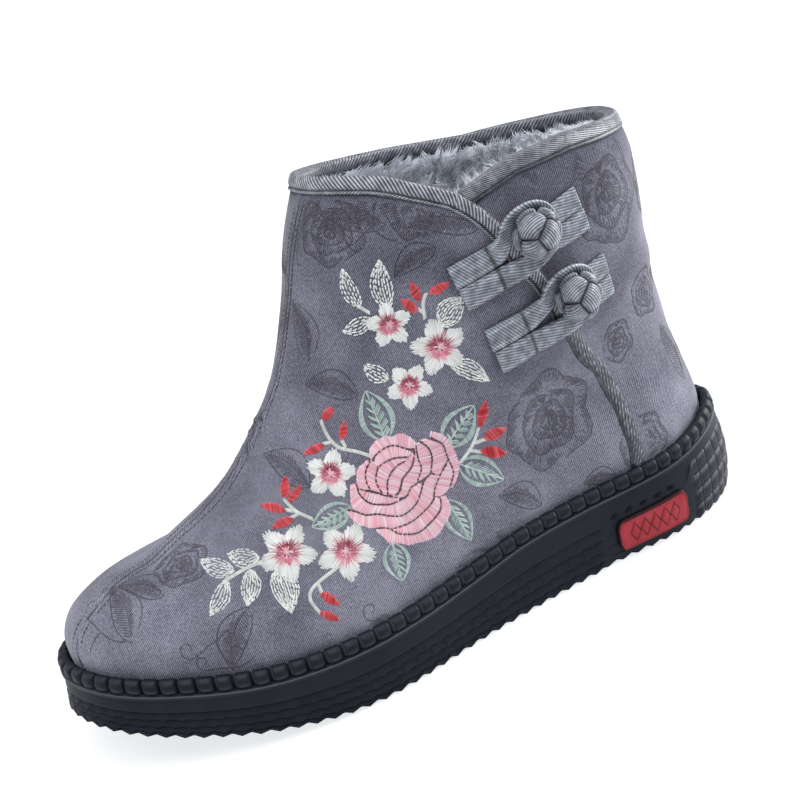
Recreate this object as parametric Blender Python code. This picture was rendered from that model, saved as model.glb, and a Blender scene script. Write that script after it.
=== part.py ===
"""Embroidered cotton ankle boot, left shoe.

The toe points to -X, the outer side with flap and frogs faces -Y, and the sole stands on z = 0.
All sizes below are in millimetres; solid() turns them into metres.
"""
from math import atan2, cos, hypot, pi, radians, sin

import bmesh
import bpy
from mathutils import Matrix, Vector

MM = 0.001
GAP = 0.3

# Sole: outline of the lip from above, from the heel's back point round the outer side
LIP_OUTLINE = [
    # x, y
    (131, 0), (122, -20), (95, -34), (55, -35.5), (10, -41.5), (-38, -51), (-75, -46), (-106, -31),
    (-124, -14), (-131, 8), (-124, 29), (-102, 42), (-66, 45), (-20, 38), (30, 32), (75, 33), (112, 26),
]
TOE_POINT = 9
HALF_LENGTH = 131.0
OUTLINE_STEPS = 24
LIP_HEIGHT = [
    # x, height of the lip's edge
    (-131, 30.9), (-105, 25.7), (-70, 20.9), (-20, 20.4), (5, 21.9), (30, 24.9), (75, 26.0), (105, 28.0),
    (131, 32.5),
]
TOE_SPRING, SPRING_START, SPRING_POWER = 17.9, -35.0, 1.8
ARCH_RISE, ARCH_MIDDLE, ARCH_HALF = 1.6, 18.0, 30.0

# Sole: side, from the cup's floor out over the bead row to the lip and down to the ground
SIDE_BEADS = 49
RIM_PROFILE = [
    # inset of a bead, inset of a gap, rise above the lip
    (5.0, 5.0, 0.7),
    (4.2, 4.2, 5.2),
    (2.4, 3.2, 5.9),
    (0.7, 2.2, 3.9),
    (0.9, 2.2, 1.0),
    (0.0, 0.0, 0.4),
    (0.0, 0.0, -0.9),
    (0.9, 0.9, -1.2),
]
SIDE_STEPS = [
    # share of the side's height, inset above the step, inset below it, first tooth
    (0.36, 0.6, 1.8, 0),
    (0.68, 1.0, 2.3, 1),
]
SIDE_TOOTH = 0.9
EDGE_INSET, EDGE_TOOTH = 1.8, 1.6
SIDE_LEAN = [
    # x, inset that the side gains from lip to ground
    (-131, -2.0), (-95, 0.0), (-45, 1.2), (100, 1.2), (131, 1.0),
]
HEEL_BULGE, HEEL_BULGE_START = 2.4, 92.0
LUG_BORDER, LUG_DEPTH = 7.0, 2.0

# Badge on the outer heel
BADGE_FROM, BADGE_TO = 0.083, 0.134
BADGE_LOW, BADGE_HIGH = 0.17, 0.60
BADGE_THICK, BADGE_CORNER = 1.4, 0.18

# Upper: closed rings from the feather line to the collar
FEATHER_INSET, FEATHER_RISE = 5.3, 1.0
WALL = 2.8
UPPER_ROWS = [
    # v, front x, front z, back x, back z, outer width, inner width, roundness, follow, point
    (0.00, -125.5, 31.9, 125.5, 33.5, 46.0, 40.0, 0.00, 1.00, 1.30),
    (0.06, -125.6, 41.8, 125.4, 42.0, 46.2, 40.3, 0.02, 0.90, 1.30),
    (0.13, -120.4, 50.2, 124.0, 51.5, 45.5, 40.0, 0.10, 0.75, 1.40),
    (0.22, -109.0, 57.0, 122.0, 62.0, 42.5, 37.5, 0.35, 0.50, 1.50),
    (0.34, -88.0, 61.5, 120.6, 74.5, 40.0, 35.5, 0.62, 0.25, 1.50),
    (0.46, -67.2, 69.4, 119.6, 88.0, 39.5, 35.5, 0.82, 0.05, 1.40),
    (0.57, -49.4, 82.2, 119.6, 100.0, 39.5, 36.0, 0.95, 0.00, 1.25),
    (0.67, -35.0, 96.5, 119.8, 110.0, 39.5, 36.5, 1.00, 0.00, 1.10),
    (0.76, -24.8, 111.5, 120.5, 121.0, 39.5, 37.0, 1.00, 0.00, 1.00),
    (0.85, -17.0, 128.0, 121.3, 132.0, 39.8, 37.0, 1.00, 0.00, 0.90),
    (0.93, -10.3, 147.0, 120.5, 143.0, 39.5, 36.5, 1.00, 0.00, 0.90),
    (1.00, 1.0, 168.0, 117.5, 153.5, 38.5, 35.5, 1.00, 0.00, 0.90),
]
BACK_POINT = 0.85
COLLAR_EDGE = [
    # u, v of the collar's top edge; the low point on the outer side is where the flap crosses
    (0.000, 1.000), (0.110, 1.000), (0.182, 0.999), (0.245, 0.985), (0.293, 0.957), (0.336, 0.981),
    (0.380, 0.996), (0.440, 1.000), (0.520, 1.000), (0.628, 0.994), (0.718, 0.988), (0.800, 0.979),
    (0.887, 0.986), (1.000, 1.000),
]
FLAP_EDGE = [
    # v, u of the front panel's edge
    (0.000, 0.1030), (0.060, 0.1010), (0.120, 0.1025), (0.230, 0.1147), (0.360, 0.1365), (0.455, 0.1600),
    (0.610, 0.1920), (0.740, 0.2180), (0.810, 0.2370), (0.883, 0.2553), (0.926, 0.2720), (0.957, 0.2930),
]
FLAP_STEP, FLAP_FADE = 1.2, 0.11
FLAP_FREE, FLAP_FULL = 0.06, 0.45
FLAP_COLUMN, FRONT_COLUMN, COLUMNS = 10, 30, 60
FLAP_RISER = 0.003
UPPER_RINGS = 13

# Tapes
BINDING_WIDTH, BINDING_PROUD, BINDING_INSIDE = 6.0, 0.9, 0.7
STRIP_WIDTH, STRIP_THICK = 6.0, 1.0
STRIP_FROM, STRIP_TO, STRIP_SECTIONS = 0.05, 0.905, 22

# Frogs: place of the knot, slope of the strap, and reach of strap and tail from the knot
FROGS = [
    # name, knot u, knot v, slope, strap reach, tail reach, place of the ribbons' middle line below the knot
    ("upper", 0.2377, 0.8623, -11.0, 29.7, 23.0, -5.0),
    ("lower", 0.1995, 0.6775, -8.8, 32.5, 20.5, -4.6),
]
LEG_WIDTH, LEG_SPREAD, LEG_LIFT, LEG_THICK = 8.0, 4.7, 3.3, 2.2
LOOP_RADIUS, LOOP_WIDTH, LOOP_LIFT, LOOP_THICK = 7.0, 4.2, 3.3, 1.8
LOOP_STEPS, LEG_STEPS = 12, 5
KNOT_RADIUS, KNOT_HALF_HEIGHT, KNOT_LIFT = 8.0, 5.5, 9.8
TAIL_WIDTH, TAIL_THICK, TAIL_START, TAIL_GROOVE = 16.0, 2.0, 9.6, 1.0

# Insole
INSOLE_INSET, INSOLE_THICK, INSOLE_COLUMNS = 9.2, 3.6, 48

MATERIALS = {
    # slot: colour, roughness
    "rubber": ((0.018, 0.019, 0.022), 0.55),
    "cloth": ((0.145, 0.15, 0.19), 0.9),
    "tape": ((0.19, 0.22, 0.28), 0.7),
    "plush": ((0.33, 0.38, 0.45), 0.95),
    "badge": ((0.36, 0.03, 0.05), 0.5),
}


def curve(rows, t):
    """Smooth curve through table rows, as a list of the columns after the first."""
    t = min(max(t, rows[0][0]), rows[-1][0])
    i = 0
    while i < len(rows) - 2 and t > rows[i + 1][0]:
        i += 1
    a, b = rows[i], rows[i + 1]
    before, after = rows[max(i - 1, 0)], rows[min(i + 2, len(rows) - 1)]
    span = b[0] - a[0]
    s = (t - a[0]) / span
    values = []
    for k in range(1, len(a)):
        leave = span * (b[k] - before[k]) / (b[0] - before[0])
        arrive = span * (after[k] - a[k]) / (after[0] - a[0])
        values.append((1 + 2 * s) * (1 - s) ** 2 * a[k] + s * (1 - s) ** 2 * leave
                      + s * s * (3 - 2 * s) * b[k] - s * s * (1 - s) * arrive)
    return values


def straight(rows, t):
    """Straight lines between rows of (t, value)."""
    t = min(max(t, rows[0][0]), rows[-1][0])
    for (t0, a), (t1, b) in zip(rows, rows[1:]):
        if t <= t1:
            return a + (b - a) * (t - t0) / (t1 - t0)
    return rows[-1][1]


def closed_curve(points, steps):
    """Points along a smooth closed curve through the given points."""
    count = len(points)
    loop = []
    for i in range(count):
        p0, p1, p2, p3 = (Vector(points[(i + k) % count]) for k in (-1, 0, 1, 2))
        for step in range(steps):
            t = step / steps
            loop.append(0.5 * (2 * p1 + (p2 - p0) * t + (2 * p0 - 5 * p1 + 4 * p2 - p3) * t * t
                               + (3 * p1 - p0 - 3 * p2 + p3) * t ** 3))
    return loop


def with_lengths(points):
    """The points with their distances along the path, as shares of its length."""
    lengths = [0.0]
    for p, q in zip(points, points[1:]):
        lengths.append(lengths[-1] + (q - p).length)
    return points, [length / lengths[-1] for length in lengths]


LIP_LOOP = closed_curve(LIP_OUTLINE, OUTLINE_STEPS)
TOE_INDEX = TOE_POINT * OUTLINE_STEPS
OUTER_SIDE = with_lengths(LIP_LOOP[:TOE_INDEX + 1])
INNER_SIDE = with_lengths(LIP_LOOP[TOE_INDEX:] + LIP_LOOP[:1])


def lip_point(u):
    """Point of the lip: u runs from 0 at the heel by the outer side to 0.5 at the toe and back to 1."""
    u %= 1.0
    points, shares = OUTER_SIDE if u < 0.5 else INNER_SIDE
    share = 2 * u if u < 0.5 else 2 * u - 1
    low, high = 0, len(shares) - 2
    while low < high:
        middle = (low + high + 1) // 2
        if shares[middle] <= share:
            low = middle
        else:
            high = middle - 1
    part = (share - shares[low]) / (shares[low + 1] - shares[low])
    return points[low].lerp(points[low + 1], part)


def outline(u, inset):
    """Point of the sole's outline, moved inwards by inset."""
    step = 0.004
    along = lip_point(u + step) - lip_point(u - step)
    return lip_point(u) + inset * Vector((along.y, -along.x)).normalized()


def lip_height(u):
    return curve(LIP_HEIGHT, lip_point(u).x)[0]


def ground(x, y):
    """Height of the tread: flat at heel and forefoot, with toe spring and arch."""
    spring = TOE_SPRING * max(0.0, (SPRING_START - x) / (HALF_LENGTH + SPRING_START)) ** SPRING_POWER
    reach = min(abs(x - ARCH_MIDDLE) / ARCH_HALF, 1.0)
    inner = 0.5 + 0.5 * max(-1.0, min(1.0, y / 30.0))
    return spring + ARCH_RISE * inner * (1 - reach * reach) ** 2


def side_inset(u, share, step_inset):
    """Inset of the sole's side at a share of its height below the lip."""
    x = lip_point(u).x
    heel = max(0.0, (x - HEEL_BULGE_START) / (HALF_LENGTH - HEEL_BULGE_START))
    return step_inset + straight(SIDE_LEAN, x) * share - HEEL_BULGE * heel * 4 * share * (1 - share)


def side_point(u, share, inset, raised=0.0):
    """Point of the sole's side between the lip (share 0) and the ground (share 1)."""
    flat = outline(u, inset)
    top = lip_height(u) + RIM_PROFILE[-1][2]
    low = ground(lip_point(u).x, flat.y)
    return Vector((flat.x, flat.y, top + (low - top) * share + raised))


def upper_point(u, v):
    """Outside of the upper, before the flap's step: u round the foot, v from the feather to the collar."""
    front_x, front_z, back_x, back_z, outer, inner, roundness, follow, point = curve(UPPER_ROWS, v)
    base = UPPER_ROWS[0]
    foot = outline(u, FEATHER_INSET)
    foot_along = (base[3] - foot.x) / (base[3] - base[1])
    foot_across = foot.y / (base[5] if foot.y < 0 else base[6])
    turn = 2 * pi * u
    oval_along = (1 - cos(turn)) / 2
    power = BACK_POINT + (point - BACK_POINT) * oval_along
    oval_across = -abs(sin(turn)) ** power * (1 if sin(turn) > 0 else -1)
    along = foot_along + roundness * (oval_along - foot_along)
    across = foot_across + roundness * (oval_across - foot_across)
    sag = lip_height(u) + FEATHER_RISE - (base[4] + (base[2] - base[4]) * foot_along)
    return Vector((back_x + (front_x - back_x) * along,
                   across * (outer if across < 0 else inner),
                   back_z + (front_z - back_z) * along + follow * sag))


def upper_slopes(u, v):
    """Change of the upper's surface per unit of u and of v."""
    step = 0.004
    low, high = max(v - step, 0.0), min(v + step, 1.0)
    along_u = (upper_point(u + step, v) - upper_point(u - step, v)) / (2 * step)
    along_v = (upper_point(u, high) - upper_point(u, low)) / (high - low)
    return along_u, along_v


def upper_normal(u, v):
    along_u, along_v = upper_slopes(u, v)
    return along_v.cross(along_u).normalized()


def flap_u(v):
    return straight(FLAP_EDGE, v)


def flap_step(u, v):
    """How far the front panel stands out over the back panel."""
    past = (u - flap_u(v) - FLAP_RISER / 2) / FLAP_FADE
    if past < 0 or u > 0.5:
        return 0.0
    height = FLAP_STEP * min(1.0, max(0.0, v - FLAP_FREE) / (FLAP_FULL - FLAP_FREE))
    return height * max(0.0, 1.0 - past) ** 1.5


def surface(u, v, lift):
    """Point at a height over the upper's outside, flap included."""
    return upper_point(u, v) + upper_normal(u, v) * (flap_step(u, v) + lift)


def column_u(column, v):
    """u of a wall column: two columns follow the flap's edge, the rest are spread evenly."""
    column %= COLUMNS
    edge = flap_u(v)
    if column <= FLAP_COLUMN:
        return edge * column / FLAP_COLUMN
    if column <= FRONT_COLUMN:
        start = edge + FLAP_RISER
        return start + (0.5 - start) * (column - FLAP_COLUMN - 1) / (FRONT_COLUMN - FLAP_COLUMN - 1)
    return 0.5 + 0.5 * (column - FRONT_COLUMN) / (COLUMNS - FRONT_COLUMN)


def collar_top(column, below):
    """v of a wall column's top, at a distance below the collar's edge."""
    v = straight(COLLAR_EDGE, column_u(column, 1.0))
    along_v = upper_slopes(column_u(column, v), v)[1]
    return v - below / along_v.length


def material(slot):
    colour, roughness = MATERIALS[slot]
    made = bpy.data.materials.get(slot) or bpy.data.materials.new(slot)
    made.use_nodes = True
    shader = made.node_tree.nodes["Principled BSDF"]
    shader.inputs["Base Color"].default_value = (*colour, 1.0)
    shader.inputs["Roughness"].default_value = roughness
    return made


def solid(name, points, faces, slot):
    """One closed body from points in millimetres."""
    mesh = bpy.data.meshes.new(name)
    mesh.from_pydata([Vector(p) * MM for p in points], [], faces)
    mesh.materials.append(material(slot))
    work = bmesh.new()
    work.from_mesh(mesh)
    bmesh.ops.recalc_face_normals(work, faces=work.faces)
    bmesh.ops.triangulate(work, faces=work.faces)
    work.to_mesh(mesh)
    work.free()
    body = bpy.data.objects.new(name, mesh)
    bpy.context.scene.collection.objects.link(body)
    return body


def loft(name, sections, closed, slot):
    """Body swept through closed sections of equal point count, ring-shaped or with plain ends."""
    size = len(sections[0])
    points = [p for section in sections for p in section]
    faces = []
    for i in range(len(sections) if closed else len(sections) - 1):
        first, second = i * size, (i + 1) % len(sections) * size
        for k in range(size):
            after = (k + 1) % size
            faces.append((first + k, first + after, second + after, second + k))
    if not closed:
        last = (len(sections) - 1) * size
        faces.append(tuple(range(size)))
        faces.append(tuple(range(last, last + size)))
    return solid(name, points, faces, slot)


def stack(name, rings, slot):
    """Body of closed rings, capped at both ends by strips from side to side."""
    size = len(rings[0])
    points = [p for ring in rings for p in ring]
    faces = []
    for i in range(len(rings) - 1):
        first, second = i * size, (i + 1) * size
        for k in range(size):
            after = (k + 1) % size
            faces.append((first + k, first + after, second + after, second + k))
    for start in (0, (len(rings) - 1) * size):
        faces.append((start, start + 1, start + size - 1))
        faces.append((start + size // 2, start + size // 2 - 1, start + size // 2 + 1))
        for k in range(1, size // 2 - 1):
            faces.append((start + k, start + k + 1, start + size - k - 1, start + size - k))
    return solid(name, points, faces, slot)


def sole_column(k):
    """Points of one sole column, from the cup's floor to the tread's border."""
    count = 4 * SIDE_BEADS
    u = k / count
    gap = k % 2
    lip = lip_height(u)
    badge_pad = BADGE_FROM - 1.5 / count < u < BADGE_TO + 1.5 / count
    points = []
    for bead_inset, gap_inset, rise in RIM_PROFILE:
        flat = outline(u, gap_inset if gap else bead_inset)
        points.append(Vector((flat.x, flat.y, lip + rise)))
    for share, above, below, first in SIDE_STEPS:
        tooth = 0.0 if badge_pad else SIDE_TOOTH * (1 if (k + first) % 2 else -1)
        for step_inset in (above, below):
            inset = side_inset(u, share, EDGE_INSET * share if badge_pad else step_inset)
            points.append(side_point(u, share, inset, tooth))
    edge = side_inset(u, 1.0, EDGE_INSET)
    points.append(side_point(u, 1.0, edge, EDGE_TOOTH * gap))
    from_heel = min(k, count - k)
    groove = LUG_DEPTH if from_heel % 4 > 1 else 0.0
    points.append(side_point(u, 1.0, edge + LUG_BORDER, groove))
    return points


def build_outsole():
    columns = [sole_column(k) for k in range(4 * SIDE_BEADS)]
    return stack("outsole", list(zip(*columns)), "rubber")


def build_insole():
    rings = []
    for rise, inset in ((GAP, INSOLE_INSET), (INSOLE_THICK, INSOLE_INSET), (INSOLE_THICK + GAP, INSOLE_INSET + 1.2)):
        ring = []
        for k in range(INSOLE_COLUMNS):
            u = k / INSOLE_COLUMNS
            flat = outline(u, inset)
            ring.append((flat.x, flat.y, lip_height(u) + RIM_PROFILE[0][2] + rise))
        rings.append(ring)
    return stack("insole", rings, "plush")


def wall_section(column, low, high, out, inside, rings):
    """Closed section of the wall at one column, between two heights and two offsets."""
    outer, inner = [], []
    for j in range(rings + 1):
        v = low + (high - low) * j / rings
        u = column_u(column, v)
        normal = upper_normal(u, v)
        face = surface(u, v, out)
        back = upper_point(u, v) - normal * inside
        if v == 0.0:
            back.z = face.z
        outer.append(face)
        inner.append(back)
    return outer + inner[::-1]


def build_upper():
    sections = []
    for column in range(COLUMNS):
        top = collar_top(column, BINDING_WIDTH + GAP)
        sections.append(wall_section(column, 0.0, top, 0.0, WALL, UPPER_RINGS))
    return loft("upper", sections, True, "cloth")


def build_binding(name, first, last, steps):
    """Tape that caps the wall's top edge over a range of columns."""
    sections = []
    for i in range(steps + 1):
        column = first + (last - first) * i / steps
        low, high = collar_top(column, BINDING_WIDTH), collar_top(column, 0.0)
        sections.append(wall_section(column, low, high, BINDING_PROUD, WALL + BINDING_INSIDE, 1))
    return loft(name, sections, False, "tape")


def walk(u, v, step):
    """u and v after a small step, in millimetres, along the upper's surface."""
    along_u, along_v = upper_slopes(u, v)
    uu, uv, vv = along_u.dot(along_u), along_u.dot(along_v), along_v.dot(along_v)
    su, sv = step.dot(along_u), step.dot(along_v)
    area = uu * vv - uv * uv
    return u + (su * vv - sv * uv) / area, v + (sv * uu - su * uv) / area


def build_flap_strip():
    """Tape on the front panel's edge, from the collar's low point to the sole."""
    sections = []
    for i in range(STRIP_SECTIONS + 1):
        v = STRIP_FROM + (STRIP_TO - STRIP_FROM) * i / STRIP_SECTIONS
        u = flap_u(v) + FLAP_RISER
        step = 0.01
        along = upper_point(flap_u(v + step), v + step) - upper_point(flap_u(v - step), v - step)
        across = along.cross(upper_normal(u, v)).normalized()
        if across.x > 0:
            across.negate()
        far_u, far_v = walk(u, v, across * STRIP_WIDTH)
        sections.append([surface(u, v, GAP), surface(far_u, far_v, GAP),
                         surface(far_u, far_v, GAP + STRIP_THICK), surface(u, v, GAP + STRIP_THICK)])
    return loft("flap_strip", sections, False, "tape")


class Patch:
    """Flat axes laid on the upper round a knot: a runs forward along the strap, b upward across it."""

    def __init__(self, u, v, slope):
        self.u, self.v = u, v
        self.origin = upper_point(u, v)
        self.normal = upper_normal(u, v)
        level = Vector((0, 0, 1)).cross(self.normal).normalized()
        forward = level if level.x < 0 else -level
        turn = Matrix.Rotation(radians(slope) * (1 if forward.cross(Vector((0, 0, 1))).dot(self.normal) > 0 else -1),
                               3, self.normal)
        self.a = turn @ forward
        self.b = turn @ self.normal.cross(level)
        if self.b.z < 0:
            self.b.negate()

    def place(self, a, b):
        """u and v of the surface point that lies at (a, b)."""
        u, v = self.u, self.v
        for _ in range(6):
            off = upper_point(u, v) - self.origin
            u, v = walk(u, v, self.a * (a - off.dot(self.a)) + self.b * (b - off.dot(self.b)))
        return u, v

    def point(self, a, b, lift):
        """Point at a height over the surface, the flap's step left out."""
        u, v = self.place(a, b)
        return upper_point(u, v) + upper_normal(u, v) * lift


def strap_path(reach, middle):
    """Middle line of the doubled strap: out along one leg, round the knot, back along the other."""
    open_at = hypot(LOOP_RADIUS, 4.0)
    first = atan2(middle + LEG_SPREAD, open_at)
    last = 2 * pi + atan2(middle - LEG_SPREAD, open_at)
    legs = []
    for b in (middle + LEG_SPREAD, middle - LEG_SPREAD):
        shares = [i / LEG_STEPS for i in range(LEG_STEPS)]
        legs.append([(reach + (open_at + 2.5 - reach) * share, b, LEG_WIDTH, 0.0) for share in shares])
    loop = []
    for i in range(1, LOOP_STEPS):
        angle = first + (last - first) * i / LOOP_STEPS
        loop.append((LOOP_RADIUS * cos(angle), LOOP_RADIUS * sin(angle), LOOP_WIDTH, 1.0))
    return legs[0] + loop + legs[1][::-1]


def build_strap(name, patch, reach, middle):
    path = strap_path(reach, middle)
    sections = []
    for i, (a, b, width, past) in enumerate(path):
        a0, b0 = path[max(i - 1, 0)][:2]
        a1, b1 = path[min(i + 1, len(path) - 1)][:2]
        length = hypot(a1 - a0, b1 - b0)
        side_a, side_b = -(b1 - b0) / length * width / 2, (a1 - a0) / length * width / 2
        corners = []
        lift = LEG_LIFT + (LOOP_LIFT - LEG_LIFT) * past
        thick = LEG_THICK + (LOOP_THICK - LEG_THICK) * past
        for sign, height in ((-1, lift), (1, lift), (1, lift + thick), (-1, lift + thick)):
            corners.append(patch.point(a + sign * side_a, b + sign * side_b, height))
        sections.append(corners)
    return loft(name, sections, False, "tape")


def build_tail(name, patch, reach, middle):
    """Short doubled ribbon behind the knot, with a groove between its two legs."""
    sections = []
    half = TAIL_WIDTH / 2
    profile = [(-half, GAP), (half, GAP), (half, TAIL_THICK), (0.6, TAIL_THICK), (0.0, TAIL_GROOVE),
               (-0.6, TAIL_THICK), (-half, TAIL_THICK)]
    for a in (-TAIL_START, -(TAIL_START + reach) / 2, -reach):
        sections.append([patch.point(a, middle + b, lift) for b, lift in profile])
    return loft(name, sections, False, "tape")


def build_knot(name, patch):
    work = bmesh.new()
    bmesh.ops.create_uvsphere(work, u_segments=14, v_segments=9, radius=1.0)
    axes = Matrix((patch.a, patch.b, patch.normal)).transposed()
    centre = patch.origin + patch.normal * KNOT_LIFT
    points = []
    for vertex in work.verts:
        shape = Vector((vertex.co.x * KNOT_RADIUS, vertex.co.y * KNOT_RADIUS, vertex.co.z * KNOT_HALF_HEIGHT))
        points.append(centre + axes @ shape)
    faces = [[vertex.index for vertex in face.verts] for face in work.faces]
    work.free()
    return solid(name, points, faces, "tape")


def build_badge():
    """Rounded plate on the outer heel."""
    sections = []
    shares = (0.0, 0.05, 0.15, 0.5, 0.85, 0.95, 1.0)
    for part in shares:
        u = BADGE_FROM + (BADGE_TO - BADGE_FROM) * part
        end = max(0.0, 1 - min(part, 1 - part) / 0.15)
        cut = BADGE_CORNER * (1 - (1 - end * end) ** 0.5) * (BADGE_HIGH - BADGE_LOW)
        low, high = 1 - BADGE_LOW - cut, 1 - BADGE_HIGH + cut
        section = []
        for share, raised in ((low, GAP), (high, GAP), (high, GAP + BADGE_THICK), (low, GAP + BADGE_THICK)):
            section.append(side_point(u, share, side_inset(u, share, EDGE_INSET * share) - raised))
        sections.append(section)
    return loft("heel_badge", sections, False, "badge")


def stand_on_origin(bodies):
    """Move every body so that the bottom centre of the whole boot is the origin."""
    points = [vertex.co for body in bodies for vertex in body.data.vertices]
    low = Vector([min(p[k] for p in points) for k in range(3)])
    high = Vector([max(p[k] for p in points) for k in range(3)])
    shift = Vector(((low.x + high.x) / 2, (low.y + high.y) / 2, low.z))
    for body in bodies:
        body.data.transform(Matrix.Translation(-shift))


def build_boot():
    bodies = [build_outsole(), build_insole(), build_upper()]
    near_front = 0.06
    bodies.append(build_binding("front_binding", FLAP_COLUMN + 1, FRONT_COLUMN - near_front, 20))
    bodies.append(build_binding("back_binding", FRONT_COLUMN + near_front, COLUMNS + FLAP_COLUMN, 40))
    bodies.append(build_flap_strip())
    for place, u, v, slope, strap_reach, tail_reach, middle in FROGS:
        patch = Patch(u, v, slope)
        bodies.append(build_strap("frog_" + place, patch, strap_reach, middle))
        bodies.append(build_knot("knot_" + place, patch))
        bodies.append(build_tail("tail_" + place, patch, tail_reach, middle))
    bodies.append(build_badge())
    stand_on_origin(bodies)


for old in list(bpy.data.objects):
    bpy.data.objects.remove(old, do_unlink=True)
build_boot()
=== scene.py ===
"""Looks of the embroidered cotton ankle boot, left shoe.

The forms repeat the sizes of the part's source, in millimetres. On the upper, u runs round the foot from
the heel by the outer side to the toe (0.5) and back by the inner side, and v from the sole (0) to the
collar (1).
"""
from math import cos, pi, radians, sin

import bmesh
import bpy
import numpy as np
from mathutils import Matrix, Vector


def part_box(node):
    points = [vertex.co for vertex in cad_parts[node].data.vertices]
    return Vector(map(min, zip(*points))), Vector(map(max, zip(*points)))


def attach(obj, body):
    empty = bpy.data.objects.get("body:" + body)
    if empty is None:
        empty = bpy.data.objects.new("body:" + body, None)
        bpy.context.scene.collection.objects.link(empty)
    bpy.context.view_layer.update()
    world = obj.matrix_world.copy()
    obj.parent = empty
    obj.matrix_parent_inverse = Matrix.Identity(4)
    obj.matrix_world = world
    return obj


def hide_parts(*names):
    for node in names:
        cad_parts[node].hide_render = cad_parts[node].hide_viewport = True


MM = 0.001
GAP = 0.3
SEED = 7
SLOPE_STEP, LEAST_AREA, CURVE_STEPS = 0.004, 100.0, 40

# Photo: camera in the form's own axes, focal length in pixels of the 800 x 800 frame
FRAME = 800
VIEW_AZIMUTH, VIEW_ELEVATION, VIEW_ROLL = -18.5, 19.183, 16.575
VIEW_DISTANCE, VIEW_FOCAL = 599.8, 1679.32
VIEW_TARGET = (12.611, 0.0, 79.166)
SENSOR = 36.0

# Sole: outline of the lip from above, from the heel's back point round the outer side
LIP_OUTLINE = [
    # x, y
    (131, 0), (122, -20), (95, -34), (55, -35.5), (10, -41.5), (-38, -51), (-75, -46), (-106, -31),
    (-124, -14), (-131, 8), (-124, 29), (-102, 42), (-66, 45), (-20, 38), (30, 32), (75, 33), (112, 26),
]
TOE_POINT = 9
HALF_LENGTH = 131.0
OUTLINE_STEPS = 24
LIP_HEIGHT = [
    # x, height of the lip's edge
    (-131, 30.9), (-105, 25.7), (-70, 20.9), (-20, 20.4), (5, 21.9), (30, 24.9), (75, 26.0), (105, 28.0),
    (131, 32.5),
]
TOE_SPRING, SPRING_START, SPRING_POWER = 17.9, -35.0, 1.8
ARCH_RISE, ARCH_MIDDLE, ARCH_HALF, ARCH_ACROSS = 1.6, 18.0, 30.0, 30.0
SIDE_TOP = -1.2
SIDE_LEAN = [
    # x, inset that the side gains from lip to ground
    (-131, -2.0), (-95, 0.0), (-45, 1.2), (100, 1.2), (131, 1.0),
]
HEEL_BULGE, HEEL_BULGE_START = 2.4, 92.0
EDGE_INSET, EDGE_TOOTH = 1.8, 1.25
LUG_BORDER = 7.0
BEADS = 98
BEAD_COLUMNS = (-0.5, -0.465, -0.425, -0.35, -0.2, 0.0, 0.2, 0.35, 0.425, 0.465)
BEAD_GAP, BEAD_CROWN, BEAD_DASH, DASH_END = (0.39, 0.485), 0.45, 0.3, (0.12, 0.28)
SAW_TIP = 0.42
RIM_ROWS = [
    # inset of a bead, inset of a gap, rise above the lip on a bead, in a gap
    (5.0, 5.0, 0.7, 0.7), (4.6, 4.6, 3.0, 2.8), (4.2, 4.4, 5.0, 4.2), (3.4, 3.9, 5.75, 4.7),
    (2.5, 3.3, 5.85, 4.6), (1.65, 2.7, 5.45, 4.3), (1.0, 2.4, 4.75, 3.9), (0.62, 2.2, 3.9, 3.4),
    (0.5, 2.15, 3.0, 2.8), (0.58, 2.15, 2.0, 2.0), (0.9, 2.2, 1.3, 1.3), (1.3, 2.2, 0.75, 0.75),
    (0.4, 0.4, 0.55, 0.55), (0.0, 0.0, 0.35, 0.35), (-0.05, -0.05, -0.15, -0.15), (0.0, 0.0, -0.7, -0.7),
    (0.35, 0.35, -1.0, -1.0), (0.9, 0.9, -1.2, -1.2),
]
CROWN_ROWS, CORNER_ROWS, DASH_LINE = range(4, 11), range(4, 10), 9
BRICK_ROWS = (0.33, 0.52, 0.70, 0.86, 1.0)
BRICK_STEPS = (0.0, 0.12, 0.35, 0.6, 0.85, 1.0)
BRICK_TOP, BRICK_LOW, BRICK_TOOTH, BRICK_TIP = 1.7, 0.6, 0.32, 0.25
BRICK_SLOPE, BRICK_CORNER, BRICK_HOLLOW = 0.3, 4, 0.8
STUD_START, STUD_GROOVE, STUD_RISE, STUD_FROM, STUD_FULL = 0.10, 1.5, 0.9, 98.0, 104.0
STUD_WIDE_POWER, STUD_TALL_POWER = 9, 7
BADGE_FROM, BADGE_TO = 0.083, 0.134
BADGE_LOW, BADGE_HIGH = 0.14, 0.655
BADGE_THICK = 1.4
PAD_MARGIN, PAD_EDGE = 0.012, 0.7
NOTCH_WIDTH, NOTCH_TOP, NOTCH_LOW, NOTCH_DEEP, NOTCH_EDGE = 0.0024, 0.19, 0.262, 1.7, 0.35
NOTCHES = (0.20, 0.98, 5)
BAND_SHARES = (0.03, 0.09, 0.15, 0.18, 0.205, 0.22, 0.235, 0.26, 0.29, 0.32)
BAND_INSET = 0.9
BORDER_STEPS = [
    # inset from the lower edge, share of the edge's teeth
    (1.5, 0.7), (LUG_BORDER * 0.5, 0.4), (LUG_BORDER, 0.2),
]
TREAD_STEPS, TREAD_SPINE = (0.08, 0.3, 0.5, 0.7, 0.85, 0.96), 95.0
BAR_PITCH, BAR_SLOPE, BAR_EDGE, BAR_RISE, BAR_DEPTH = 11.0, 0.6, (0.25, 0.4), 0.3, 1.5

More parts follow.
